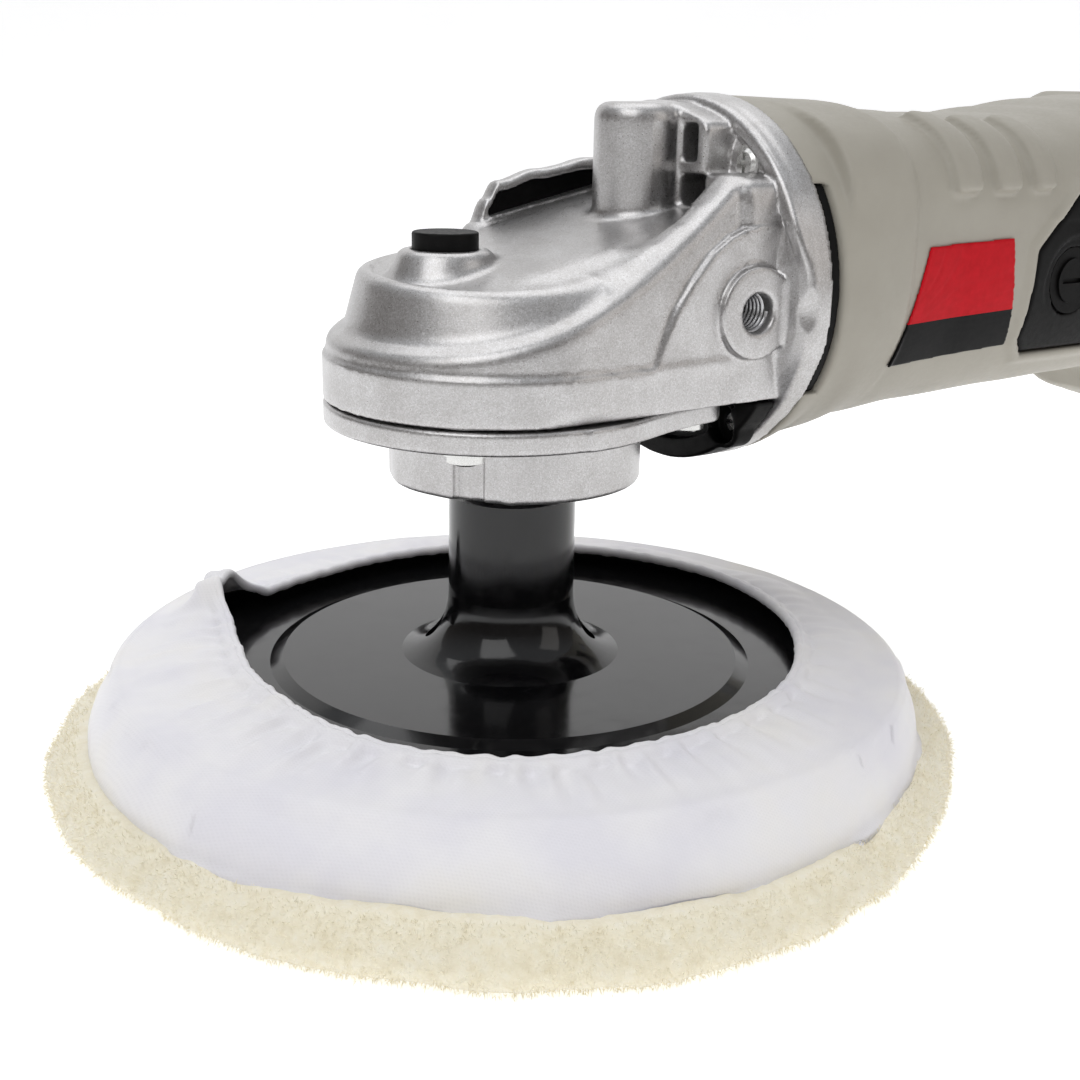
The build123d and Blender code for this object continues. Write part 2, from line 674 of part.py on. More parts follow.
def switch_body():
    body = block(243, 284, -9, 9, 126, 142)
    for side in (-1, 1):
        body += rod_y(2, min(9 * side, 11 * side), max(9 * side, 11 * side), 249, 138)
    return body


def speed_dial():
    x, z = DIAL_AT
    wheel = rod_y(DIAL_R, -3.2, 3.2, x, z)
    for i in range(30):
        angle = 2 * pi * i / 30
        wheel -= rod_y(0.7, -4, 4, x + DIAL_R * cos(angle), z + DIAL_R * sin(angle))
    return wheel - rod_y(2.05, -4, 4, x, z)


def speed_module():
    """Control board with the potentiometer that the dial turns."""
    x, z = DIAL_AT
    board = block(196, 214, -17, 17, 123, 124.6)
    parts = block(x - 5, x + 5, 3.8, 12, 124.6, z + 5) + rod_y(2.0, -3.2, 4, x, z)
    heat_sink = block(199, 212, -16, -7, 124.6, 136)
    return board + parts + heat_sink


def cord_inlet():
    """Gland in the back of the handle for the supply cord."""
    gland = rod_x(7.0, 336, 343, 0, INLET_Z) + rod_x(9.0, 343, 346, 0, INLET_Z)
    return gland - rod_x(4.2, 330, 350, 0, INLET_Z)


def handle_screws():
    return [Pos(x, -13.5, z) * Rot(90, 0, 0) * pan_screw(25, 1.8, 3.6) for x, z in HANDLE_SCREWS]


def main():
    os.makedirs("parts", exist_ok=True)
    for name, solids in bearings().items():
        save(name, *solids)
    save("spindle_seal", tube(12.5, 9.6, 66.8, 69.9))
    save("bearing_circlip", tube(17.5, 15.6, 81.1, 82.3))
    save("gear_housing", gear_housing())
    save("bearing_cover", bearing_cover())
    save("cover_screws", *cover_screws())
    save("air_baffle", air_baffle())
    save("flange_screws", *flange_screws())
    save("motor_housing", motor_housing())
    for side, word in ((-1, "left"), (1, "right")):
        save(f"brush_panel_{word}", brush_panel(side))
        save(f"handle_{word}", handle_half(side))
        save(f"name_plate_{word}", name_plate(side))
        save(f"side_vent_{word}", side_vent(side))
    save("brush_holders", brush_holder(-1), brush_holder(1))
    save("brush_caps", brush_cap(-1), brush_cap(1))
    save("carbon_brushes", carbon_brush(-1), carbon_brush(1))
    save("brush_springs", brush_spring(-1), brush_spring(1))
    save("bearing_bridge", bearing_bridge())
    save("stator_core", stator_core())
    save("field_coils", *field_coils())
    save("spindle", spindle())
    save("spindle_gear", spindle_gear())
    save("gear_key", gear_key())
    save("retaining_ring", retaining_ring())
    save("countershaft", countershaft())
    save("bevel_gear", bevel_gear())
    save("bevel_pinion", bevel_pinion())
    save("pinion_nut", pinion_nut())
    save("armature_shaft", armature_shaft())
    save("armature_core", armature_core())
    save("armature_windings", *armature_windings())
    save("commutator", commutator())
    save("cooling_fan", cooling_fan())
    save("lock_pin", lock_pin())
    save("lock_cap", lock_cap())
    save("lock_spring", lock_spring())
    save("backing_plate", backing_plate())
    save("hub_insert", hub_insert())
    save("foam_pad", foam_pad())
    save("wool_pad", wool_pad())
    save("bonnet_sleeve", bonnet_sleeve())
    save("hem_elastic", hem_elastic())
    save("handle_screws", *handle_screws())
    save("trigger", trigger())
    save("trigger_pin", trigger_pin())
    save("lock_on_button", lock_on_button())
    save("switch_body", switch_body())
    save("speed_dial", speed_dial())
    save("speed_module", speed_module())
    save("cord_inlet", cord_inlet())


main()
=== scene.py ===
"""Rotary polisher: cast head, moulded housing, bonnet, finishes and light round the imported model.

Castings and mouldings are formed as distance fields, in millimetres, and turned into smooth
meshes in metres. X runs from the nose to the rear handle, Y to the right, Z up.
"""

import json
from math import cos, pi, radians, sin

import bpy
import numpy as np
from mathutils import Matrix, Vector


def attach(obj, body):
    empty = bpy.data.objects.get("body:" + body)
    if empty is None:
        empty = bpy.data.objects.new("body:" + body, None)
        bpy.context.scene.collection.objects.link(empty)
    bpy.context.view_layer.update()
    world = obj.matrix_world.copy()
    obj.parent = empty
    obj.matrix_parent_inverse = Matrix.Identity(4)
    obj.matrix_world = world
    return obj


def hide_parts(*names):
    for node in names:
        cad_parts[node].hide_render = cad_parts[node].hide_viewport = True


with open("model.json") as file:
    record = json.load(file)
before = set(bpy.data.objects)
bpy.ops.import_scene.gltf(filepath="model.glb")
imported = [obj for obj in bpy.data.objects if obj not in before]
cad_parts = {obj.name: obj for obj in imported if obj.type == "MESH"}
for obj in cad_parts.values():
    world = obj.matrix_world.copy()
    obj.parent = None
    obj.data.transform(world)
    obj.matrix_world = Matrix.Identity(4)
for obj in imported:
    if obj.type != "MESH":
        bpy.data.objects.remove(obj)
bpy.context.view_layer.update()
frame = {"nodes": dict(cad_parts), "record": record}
MM = 0.001

# ---- driving sizes, in millimetres ----------------------------------------------------------
MOTOR_Z = 105.5
GAP_X = 31.25
JOINT_X = 52.8
SEAM_Z = 84.0
BAND_TOP = 94.6
NOSE_X, NOSE_R = -4.9, 37.3
RING_R = 42.6
HEAD_R = 41.8
BAFFLE_R = 40.2
LOCK_X = -17.4
SIDE_BOSS = (38.0, 103.9)
SIDE_BOSS_FACE = 35.6
THREAD_R, THREAD_PITCH = 3.4, 1.25
FLANGE_SCREWS = [(y, MOTOR_Z + s * 28.5) for y in (-22, 22) for s in (-1, 1)]
COVER_SCREWS = [(-26, -23), (-26, 23), (33, -20), (33, 20)]
BODY_REAR = 190.0
BRUSH_X = 139.5
HANDLE_SCREWS = [(221, 133), (221, 63), (292, 129), (329, 92), (300, 62)]
HEAD_STEP = 0.62
BODY_STEP = 0.95
DETAIL_STEP = 0.4


# ---- distance fields ------------------------------------------------------------------------
class Space:
    """Sample points of a box, in millimetres, as three open axes."""

    def __init__(self, xs, ys, zs, step):
        self.step = step
        self.start = (xs[0], ys[0], zs[0])
        axes = [np.arange(a, b + step, step, dtype=np.float32) for a, b in (xs, ys, zs)]
        self.shape = tuple(len(a) for a in axes)
        self.x, self.y, self.z = np.meshgrid(*axes, indexing="ij", sparse=True)
        self.side = np.abs(self.y)


def join(a, b, blend=0.0):
    if not blend:
        return np.minimum(a, b)
    h = np.maximum(blend - np.abs(a - b), 0) / blend
    return np.minimum(a, b) - h * h * blend / 4


def meet(a, b, blend=0.0):
    return -join(-a, -b, blend)


def cut(a, b, blend=0.0):
    return meet(a, -b, blend)


def between(q, low, high):
    return np.maximum(low - q, q - high)


def rod(u, v, radius, u0=0.0, v0=0.0):
    return np.hypot(u - u0, v - v0) - radius


def box(s, xs, ys, zs, blend=0.0):
    """Box given by its spans; ys is measured from the middle plane, on both sides."""
    flat = meet(between(s.x, *xs), between(s.side, *ys), blend)
    return meet(flat, between(s.z, *zs), blend)


def polygon(u, v, corners):
    """Signed distance to a closed outline in a plane."""
    nearest = np.full(np.broadcast(u, v).shape, 1e9, np.float32)
    inside = np.zeros(nearest.shape, bool)
    for (u0, v0), (u1, v1) in zip(corners, corners[1:] + corners[:1]):
        du, dv = u1 - u0, v1 - v0
        t = np.clip(((u - u0) * du + (v - v0) * dv) / (du * du + dv * dv), 0, 1)
        nearest = np.minimum(nearest, np.hypot(u - u0 - t * du, v - v0 - t * dv))
        if dv:
            crosses = (v0 <= v) != (v1 <= v)
            inside ^= crosses & (u < u0 + du * (v - v0) / dv)
    return np.where(inside, -nearest, nearest)


def ease(t):
    t = np.clip(t, 0, 1)
    return t * t * (3 - 2 * t)


def follow(q, *pairs):
    """A value read from (place, value) pairs, with eased steps between them."""
    value = np.full(q.shape, pairs[0][1], np.float32)
    for (q0, v0), (q1, v1) in zip(pairs, pairs[1:]):
        value = value + (v1 - v0) * ease((q - q0) / (q1 - q0))
    return value


def surface(name, space, field):
    """Quad mesh of the zero surface: one point in each cell that the surface crosses."""
    field = np.broadcast_to(field, space.shape).astype(np.float32)
    inside = field < 0
    corners = [(i, j, k) for i in (0, 1) for j in (0, 1) for k in (0, 1)]
    cells = tuple(n - 1 for n in space.shape)

    def corner_view(values, c):
        return values[c[0]:c[0] + cells[0], c[1]:c[1] + cells[1], c[2]:c[2] + cells[2]]

    count = sum(corner_view(inside, c).astype(np.int8) for c in corners)
    at = np.argwhere((count > 0) & (count < 8))
    values = [field[at[:, 0] + c[0], at[:, 1] + c[1], at[:, 2] + c[2]] for c in corners]
    total = np.zeros((len(at), 3))
    hits = np.zeros(len(at))
    for a, ca in enumerate(corners):
        for b, cb in enumerate(corners):
            if a < b and sum(p != q for p, q in zip(ca, cb)) == 1:
                va, vb = values[a], values[b]
                crosses = (va < 0) != (vb < 0)
                t = np.where(crosses, va / np.where(crosses, va - vb, 1), 0)
                point = np.array(ca) + t[:, None] * (np.array(cb) - np.array(ca))
                total += point * crosses[:, None]
                hits += crosses
    points = (at + total / hits[:, None]) * space.step + np.array(space.start)
    number = np.full(cells, -1, np.int32)
    number[tuple(at.T)] = np.arange(len(at))
    quads = []
    for axis in range(3):
        b, c = (axis + 1) % 3, (axis + 2) % 3
        first = [slice(1, -1)] * 3
        first[axis] = slice(0, -1)
        second = list(first)
        second[axis] = slice(1, None)
        one, two = inside[tuple(first)], inside[tuple(second)]
        edge = np.argwhere(one != two)
        out = one[tuple(edge.T)]
        edge[:, b] += 1
        edge[:, c] += 1
        ring = []
        for db, dc in ((1, 1), (0, 1), (0, 0), (1, 0)):
            cell = edge.copy()
            cell[:, b] -= db
            cell[:, c] -= dc
            ring.append(number[tuple(cell.T)])
        quad = np.stack(ring, 1)
        quad[~out] = quad[~out][:, ::-1]
        quads.append(quad)
    return mesh_object(name, points, np.concatenate(quads))


def mesh_object(name, points, faces, smooth=True):
    """Object from points in millimetres and faces that all have the same number of corners."""
    faces = np.asarray(faces, np.int32)
    mesh = bpy.data.meshes.new(name)
    mesh.vertices.add(len(points))
    mesh.vertices.foreach_set("co", (np.asarray(points) * MM).astype(np.float32).ravel())
    mesh.loops.add(faces.size)
    mesh.loops.foreach_set("vertex_index", faces.ravel())
    mesh.polygons.add(len(faces))
    mesh.polygons.foreach_set("loop_start", np.arange(0, faces.size, faces.shape[1], dtype=np.int32))
    mesh.update(calc_edges=True)
    mesh.validate()
    mesh.polygons.foreach_set("use_smooth", np.full(len(mesh.polygons), smooth))
    piece = bpy.data.objects.new(name, mesh)
    bpy.context.scene.collection.objects.link(piece)
    return piece


def settle(piece, body, finish_slot, *nodes):
    """Put a new piece on its body, in place of its CAD nodes, in the finish of its slot."""
    piece.data.materials.append(FINISH[finish_slot])
    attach(piece, body)
    if nodes:
        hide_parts(*nodes)
    return piece


# ---- seeded noise in numpy ------------------------------------------------------------------
def lumps(points, size, seed):
    """Smooth random values from -1 to 1 whose lumps are about size across."""
    lattice = np.random.default_rng(seed).uniform(-1, 1, (32, 32, 32))
    q = np.asarray(points) / size + 512
    base = np.floor(q).astype(int)
    t = q - base
    t = t * t * (3 - 2 * t)
    value = 0
    for i in (0, 1):
        for j in (0, 1):
            for k in (0, 1):
                weight = 1
                for axis, bit in enumerate((i, j, k)):
                    weight = weight * (t[:, axis] if bit else 1 - t[:, axis])
                at = (base + (i, j, k)) % 32
                value = value + weight * lattice[at[:, 0], at[:, 1], at[:, 2]]
    return value


# ---- finishes -------------------------------------------------------------------------------
class Shader:
    """A node material: helpers that add nodes and return their output sockets."""

    def __init__(self, name):
        self.material = bpy.data.materials.new(name)
        self.material.use_nodes = True
        self.nodes = self.material.node_tree.nodes
        self.links = self.material.node_tree.links
        self.skin = self.nodes["Principled BSDF"]
        self.place = self.nodes.new("ShaderNodeTexCoord").outputs["Object"]

    def set(self, **values):
        for key, value in values.items():
            self.skin.inputs[key.replace("_", " ")].default_value = value

    def plug(self, source, socket):
        self.links.new(source, self.skin.inputs[socket])

    def stretched(self, sx, sy, sz):
        node = self.nodes.new("ShaderNodeMapping")
        node.inputs["Scale"].default_value = (sx, sy, sz)
        self.links.new(self.place, node.inputs["Vector"])
        return node.outputs["Vector"]

    def noise(self, size_mm, detail=3.0, rough=0.55, place=None):
        node = self.nodes.new("ShaderNodeTexNoise")
        node.inputs["Scale"].default_value = 1000 / size_mm
        node.inputs["Detail"].default_value = detail
        node.inputs["Roughness"].default_value = rough
        self.links.new(place or self.place, node.inputs["Vector"])
        return node.outputs["Fac"]

    def cells(self, size_mm, feature="F1"):
        node = self.nodes.new("ShaderNodeTexVoronoi")
        node.feature = feature
        node.inputs["Scale"].default_value = 1000 / size_mm
        self.links.new(self.place, node.inputs["Vector"])
        return node

    def ramp(self, source, *stops):
        """Colours at places from 0 to 1."""
        node = self.nodes.new("ShaderNodeValToRGB")
        ends = node.color_ramp.elements
        while len(ends) < len(stops):
            ends.new(0.5)
        for element, (place, colour) in zip(ends, stops):
            element.position = place
            element.color = (*colour, 1)
        self.links.new(source, node.inputs["Fac"])
        return node.outputs["Color"]

    def spread(self, source, low, high, start=0.0, end=1.0):
        node = self.nodes.new("ShaderNodeMapRange")
        for key, value in (("From Min", start), ("From Max", end), ("To Min", low), ("To Max", high)):
            node.inputs[key].default_value = value
        self.links.new(source, node.inputs["Value"])
        return node.outputs["Result"]

    def sums(self, operation, a, b):
        node = self.nodes.new("ShaderNodeMath")
        node.operation = operation
        for socket, value in zip(node.inputs, (a, b)):
            if isinstance(value, (int, float)):
                socket.default_value = value
            else:
                self.links.new(value, socket)
        return node.outputs["Value"]

    def mixed(self, factor, a, b, blend="MIX"):
        node = self.nodes.new("ShaderNodeMixRGB")
        node.blend_type = blend
        for socket, value in zip(node.inputs, (factor, a, b)):
            if hasattr(value, "is_linked"):
                self.links.new(value, socket)
            elif isinstance(value, tuple):
                socket.default_value = (*value, 1)
            else:
                socket.default_value = value
        return node.outputs["Color"]

    def relief(self, height, depth_mm, strength=1.0, below=None):
        node = self.nodes.new("ShaderNodeBump")
        node.inputs["Strength"].default_value = strength
        node.inputs["Distance"].default_value = depth_mm * MM
        self.links.new(height, node.inputs["Height"])
        if below:
            self.links.new(below, node.inputs["Normal"])
        return node.outputs["Normal"]


def plain_finish(name, dark, light, rough, grain, depth, **values):
    """Even material with small changes of colour, roughness and height."""
    s = Shader(name)
    tone = s.noise(grain * 6, 4)
    s.plug(s.ramp(tone, (0.3, dark), (0.7, light)), "Base Color")
    s.plug(s.spread(s.noise(grain * 3, 3), rough[0], rough[1], 0.3, 0.7), "Roughness")
    s.plug(s.relief(s.noise(grain, 2), depth), "Normal")
    s.set(**values)
    return s.material


def cast_silver():
    """Silver paint with metal flakes over a sand-rough casting."""
    s = Shader("cast_silver")
    flake = s.cells(0.24).outputs["Color"]
    cloud = s.noise(9, 4)
    base = s.ramp(cloud, (0.25, (0.46, 0.45, 0.445)), (0.75, (0.58, 0.575, 0.575)))
    speck = s.ramp(flake, (0.05, (0.78, 0.77, 0.76)), (0.55, (0.95, 0.95, 0.95)), (0.95, (1.18, 1.18, 1.20)))
    s.plug(s.mixed(1.0, base, speck, "MULTIPLY"), "Base Color")
    s.plug(s.spread(flake, 0.26, 0.40), "Roughness")
    grit = s.noise(0.42, 3, 0.7)
    s.plug(s.relief(grit, 0.07, 0.4, s.relief(s.noise(2.4, 2), 0.10, 0.3)), "Normal")
    s.set(Metallic=0.92)
    return s.material


def housing_beige():
    """Warm grey moulded nylon with a fine spark-eroded grain."""
    s = Shader("housing_beige")
    tone = s.noise(14, 4)
    s.plug(s.ramp(tone, (0.3, (0.335, 0.315, 0.268)), (0.7, (0.365, 0.345, 0.296))), "Base Color")
    s.plug(s.spread(s.noise(1.2, 3), 0.42, 0.54, 0.3, 0.7), "Roughness")
    s.plug(s.relief(s.noise(0.35, 2), 0.03, 0.5), "Normal")
    s.set(Specular_IOR_Level=0.45)
    return s.material


def gloss_black():
    """Polished black plastic with faint dust and very shallow sink marks."""
    s = Shader("gloss_black")
    dust = s.noise(1.1, 5, 0.7)
    s.plug(s.ramp(dust, (0.5, (0.003, 0.003, 0.0035)), (0.85, (0.012, 0.0115, 0.0115))), "Base Color")
    s.plug(s.spread(s.noise(5, 4), 0.09, 0.2, 0.35, 0.75), "Roughness")
    s.plug(s.relief(s.noise(22, 1), 0.25, 0.25), "Normal")
    s.set(Coat_Weight=0.15, Coat_Roughness=0.06, Specular_IOR_Level=0.4)
    return s.material


def fabric_white():
    """White satin weave: warm patches of wear and cooler, darker patches of painted shade, laid out at random."""
    s = Shader("sleeve_fabric")
    wave = s.nodes.new("ShaderNodeTexWave")
    wave.inputs["Scale"].default_value = 620
    wave.inputs["Distortion"].default_value = 1.4
    wave.bands_direction = "DIAGONAL"
    s.links.new(s.place, wave.inputs["Vector"])
    cross = s.nodes.new("ShaderNodeTexWave")
    cross.inputs["Scale"].default_value = 540
    cross.inputs["Distortion"].default_value = 1.4
    s.links.new(s.stretched(1, -1, 1), cross.inputs["Vector"])
    weave = s.sums("MULTIPLY", wave.outputs["Fac"], cross.outputs["Fac"])
    # random patches: the warm end of the ramp is wear, the cool dark end is painted shade
    wear_and_shade = s.noise(26, 3)
    tint = s.ramp(wear_and_shade, (0.35, (0.80, 0.79, 0.84)), (0.55, (0.86, 0.85, 0.87)), (0.75, (0.88, 0.86, 0.83)))
    s.plug(s.mixed(s.spread(weave, 0.0, 0.10), tint, (0.60, 0.59, 0.62)), "Base Color")
    s.plug(s.spread(weave, 0.50, 0.68), "Roughness")
    s.plug(s.relief(weave, 0.06, 0.45, s.relief(s.noise(1.6, 3), 0.1, 0.35)), "Normal")
    s.set(Sheen_Weight=0.35, Sheen_Roughness=0.4, Specular_IOR_Level=0.35)
    return s.material


def wool_cream():
    """Cream lambswool: small clumps of darker and lighter cream, and soft grey patches."""
    s = Shader("wool")
    clump = s.noise(3.0, 5, 0.65)
    patch = s.noise(24, 4, 0.6)
    wool = s.ramp(clump, (0.30, (0.86, 0.79, 0.60)), (0.50, (0.93, 0.87, 0.69)), (0.72, (0.96, 0.92, 0.78)))
    s.plug(s.mixed(s.spread(patch, 0.0, 0.22, 0.45, 0.75), wool, (0.80, 0.77, 0.66)), "Base Color")
    s.plug(s.spread(clump, 0.95, 0.8), "Roughness")
    s.plug(s.relief(s.noise(0.8, 4, 0.7), 0.5, 0.7), "Normal")
    s.set(Sheen_Weight=0.6, Sheen_Roughness=0.5, Specular_IOR_Level=0.15)
    return s.material


def plate_two_colour():
    """Name plate with nothing written on it: red above, black below."""
    s = Shader("plate_red_black")
    parts = s.nodes.new("ShaderNodeSeparateXYZ")
    s.links.new(s.place, parts.inputs["Vector"])
    lean = s.sums("ADD", parts.outputs["Z"], s.sums("MULTIPLY", parts.outputs["X"], -0.03))
    split = s.sums("GREATER_THAN", lean, (99.4 - 0.03 * 98) * MM)
    cloud = s.noise(2.0, 3)
    red = s.ramp(cloud, (0.3, (0.44, 0.004, 0.010)), (0.7, (0.52, 0.006, 0.014)))
    black = s.ramp(cloud, (0.3, (0.003, 0.003, 0.0035)), (0.7, (0.006, 0.0058, 0.0058)))
    s.plug(s.mixed(split, black, red), "Base Color")
    s.plug(s.spread(s.noise(0.8, 3), 0.38, 0.5), "Roughness")
    s.plug(s.relief(s.noise(0.5, 2), 0.01, 0.5), "Normal")
    s.set(Specular_IOR_Level=0.08)
    return s.material


def turned_steel(name, dark, light, rough, along):
    """Machined metal: fine lines across one axis."""
    s = Shader(name)
    lines = s.noise(1.0, 3, 0.6, s.stretched(*along))
    s.plug(s.ramp(lines, (0.3, dark), (0.7, light)), "Base Color")
    s.plug(s.spread(lines, rough[0], rough[1], 0.3, 0.7), "Roughness")
    s.plug(s.relief(lines, 0.02, 0.5), "Normal")
    s.set(Metallic=1.0)
    return s.material


FINISH = {
    "cast_silver": cast_silver(),
    "housing_beige": housing_beige(),
    "gloss_black": gloss_black(),
    "sleeve_fabric": fabric_white(),
    "wool": wool_cream(),
    "plate_red_black": plate_two_colour(),
    "black_plastic": plain_finish("black_plastic", (0.002, 0.002, 0.002), (0.005, 0.0048, 0.0048), (0.42, 0.55),
                                  0.4, 0.03, Specular_IOR_Level=0.1),
    "steel": turned_steel("steel", (0.40, 0.40, 0.41), (0.56, 0.56, 0.57), (0.25, 0.4), (1, 1, 6)),
    "zinc_steel": turned_steel("zinc_steel", (0.58, 0.58, 0.56), (0.74, 0.74, 0.73), (0.22, 0.36), (3, 1, 1)),
    "bearing_steel": turned_steel("bearing_steel", (0.56, 0.56, 0.58), (0.68, 0.68, 0.70), (0.12, 0.22), (1, 1, 4)),
    "spring_steel": turned_steel("spring_steel", (0.28, 0.28, 0.29), (0.42, 0.42, 0.43), (0.3, 0.42), (1, 4, 1)),
    "core_steel": turned_steel("core_steel", (0.25, 0.25, 0.26), (0.40, 0.40, 0.41), (0.4, 0.55), (8, 1, 1)),
    "copper": plain_finish("copper", (0.55, 0.21, 0.10), (0.78, 0.36, 0.19), (0.25, 0.42), 0.5, 0.06, Metallic=1.0),
    "brass": plain_finish("brass", (0.60, 0.44, 0.18), (0.76, 0.58, 0.28), (0.25, 0.4), 0.4, 0.03, Metallic=1.0),
    "carbon": plain_finish("carbon", (0.02, 0.02, 0.02), (0.05, 0.05, 0.05), (0.5, 0.7), 0.3, 0.04),
    "felt": plain_finish("felt", (0.06, 0.06, 0.06), (0.13, 0.12, 0.12), (0.85, 0.95), 0.4, 0.2, Sheen_Weight=0.4),
    "foam": plain_finish("foam", (0.10, 0.10, 0.10), (0.18, 0.18, 0.18), (0.8, 0.95), 0.7, 0.3),
    "dial_grey": plain_finish("dial_grey", (0.10, 0.10, 0.10), (0.15, 0.15, 0.145), (0.45, 0.6), 0.4, 0.03),
    "board": plain_finish("board", (0.02, 0.10, 0.04), (0.04, 0.16, 0.07), (0.35, 0.5), 0.8, 0.02),
}

for entry in frame["record"]["subparts"]:
    mesh = frame["nodes"][entry["node"]].data
    mesh.materials.clear()
    seen = "black_plastic" if entry["node"] == "brush_holders" else entry["material_slot"]
    mesh.materials.append(FINISH[seen])


# ---- cast gear housing ----------------------------------------------------------------------
def head_plan(s, rear_half=34.0):
    """Plan of the head: round nose and sides that run straight to the rear."""
    reach = np.hypot(JOINT_X - NOSE_X, rear_half)
    lean = np.arcsin(NOSE_R / reach) - np.arctan2(rear_half, JOINT_X - NOSE_X)
    out = (s.x - NOSE_X) * np.sin(lean) + s.side * np.cos(lean) - NOSE_R
    along = (s.x - NOSE_X) * np.cos(lean) - s.side * np.sin(lean)
    return np.where(along < 0, rod(s.x, s.side, NOSE_R, NOSE_X), out).astype(np.float32)


def gear_housing():
    """Cast head: nose with its rim and crease, lips, ring, and the openings in them."""
    s = Space((-44, 55), (-45, 45), (61, 150), HEAD_STEP)
    plan = head_plan(s, 33.0)
    tilt = 0.045 * s.y
    plateau = 109.6 + (s.x + 30) * 0.222 + tilt
    ledge = np.minimum(98.5 + 0.0055 * (s.x + 42) ** 2, 129.6)
    rim = np.minimum(111.4 + 0.00007 * np.maximum(s.x + 32, 0) ** 3 + tilt, 131.0)
    radial = rod(s.side, s.z, 0.0, 0, MOTOR_Z)

    band = meet(plan, between(s.z, SEAM_Z, BAND_TOP), 1.0)
    skirt = meet(plan + 0.75 + 0.05 * (s.z - BAND_TOP), np.maximum(s.z - ledge, 90 - s.z), 3.0)
    rise = np.clip((s.z - ledge) / np.maximum(rim - ledge, 3), 0, 1)
    inward = ease((-plan - 9) / 9)
    crown_top = rim + (np.minimum(plateau, rim + 4) - rim) * inward
    crown = meet(plan + 4.4 + 3.6 * rise, np.maximum(s.z - crown_top, 90 - s.z), 2.4)
    body = join(join(band, skirt), crown, 2.6)

    crease = np.interp(s.z, (92.4, 94, 100.8, 105.5, 111.2, 116.6, 120.0, 121.6, 123),
                       (5, 11, 13.9, 16.3, 20.7, 25.9, 31.5, 36, 60))
    flank = meet(plan + 0.1, crease.astype(np.float32) - s.x, 1.4)
    flank = meet(flank, np.maximum(s.z - ledge - 0.6, 92 - s.z), 2.2)
    body = join(body, flank, 1.0)

    # rear: block round the motor axis, ring, and the lips that run up to it
    rear_block = meet(radial + 0 * s.x - 40.4, between(s.x, 36.5, JOINT_X), 2.0)
    rear_block = meet(rear_block, np.maximum(s.side - 33.6, SEAM_Z - s.z), 2.0)
    shoulder = meet(17.2 - s.side, 131.2 - s.z, 1.6)
    rear_block = cut(rear_block, np.maximum(shoulder, s.x - 46.2), 1.6)
    body = meet(body, radial - HEAD_R, 1.0)
    body = join(body, rear_block, 3.0)
    ring_radius = follow(s.z, (62, 40.0), (76, 40.4), (86, 41.4), (98, RING_R))
    forward = follow(s.z, (107, 0.0), (124, 3.0))
    mouth = follow(s.x, (43.4, -11.5), (44.8, -6.2), (45.9, -2.8), (47.0, -0.7), (48.6, 0.0), (52.8, 0.0))
    flare = 0.6 * (radial - ring_radius - mouth)
    flare = np.maximum(flare, np.maximum(44.0 - s.x, SEAM_Z - s.z))
    hoop = meet(np.maximum(radial - ring_radius, 38.7 - radial), between(s.x + forward, 47.0, 60), 1.5)
    flare = join(flare, np.maximum(hoop, 104.0 - s.z), 0.6)
    near_top = follow(s.x, (4, 111), (16, 118), (22, 121), (28, 124.8), (36, 130.6))
    far_top = follow(s.x, (1, 112), (6, 118.5), (9, 124.0), (12, 128.0), (22, 130.6), (36, 132.6))
    lip_top = np.where(s.y < 0, near_top, far_top)
    lip = meet(between(-plan, 5.6, 12.0), np.maximum(s.z - lip_top, 104 - s.z), 2.8)
    lip = np.maximum(lip, np.maximum(2 - s.x, s.x - 50))
    lip = meet(lip, radial - 41.0, 2.0)
    body = join(body, lip, 3.0)

    carve = np.maximum(plateau - s.z, plan + 11.0)
    carve = np.maximum(carve, s.x - 37.0)
    body = cut(body, carve, 1.0)

    tall = meet(rod(s.x, s.y, 9.3, GAP_X), np.maximum(s.z - 146.2, 112 - s.z), 4.0)
    ridge = meet(np.maximum(s.side - 5.0, between(s.x, GAP_X, 47)), np.maximum(s.z - 145.4, 112 - s.z), 3.5)
    body = join(body, join(tall, ridge, 1.5), 2.4)
    lock = meet(rod(s.x, s.y, 0, LOCK_X) - 9.6 - 0.42 * (116.4 - s.z), np.maximum(s.z - 116.4, 104 - s.z), 1.6)
    body = join(body, lock, 2.0)

    ring = meet(radial - ring_radius, between(s.x, 47.0, JOINT_X + 4), 1.6)
    body = join(body, join(ring, flare, 0.6), 0.6)
    boss = meet(rod(s.x, s.z, 9.9, *SIDE_BOSS), np.maximum(s.side - SIDE_BOSS_FACE - 0.9, 20 - s.side), 0.6)
    body = join(body, np.maximum(boss, s.x - 46.4), 0.5)
    below = meet(radial - ring_radius, 47.0 - s.x, 1.0)
    body = np.where(s.z < SEAM_Z, below, body)
    body = np.maximum(body, s.x - JOINT_X)

    body = head_hollows(s, body, plan, radial)

    # air windows, the slots at the foot of the lips, and a black sheet inside the far slot that paints the shade of
    # the dark interior behind it
    for inner, outer, low, high in ((9.2, 14.3, 133.9, 142.0), (9.2, 17.4, 124.6, 131.4)):
        window = meet(between(s.side, inner, outer), between(s.z, low, high), 1.6)
        body = cut(body, np.maximum(window, between(s.x, 30, 54)), 0.7)
    roof = np.where(s.y > 0, far_top - 2.3, plateau + 4.3)
    trench = meet(between(s.side, 14.0, np.where(s.y > 0, 27.2, 25.5)), between(s.z, plateau + 0.6, roof), 1.0)
    body = cut(body, np.maximum(trench, between(s.x, 9, 40)), 0.5)
    settle(surface("gear_housing_cast", s, body), "root", "cast_silver", "gear_housing")
    # painted shade: a black sheet behind the far slot, so that it looks dark rather than see-through
    shade_sheet = np.maximum(between(s.y, 26.4, 28.0), between(s.z, plateau, far_top - 1.4))
    shade_sheet = np.maximum(shade_sheet, between(s.x, 8.4, 40.2))
    settle(surface("slot_shade_sheet", s, shade_sheet), "root", "black_plastic")


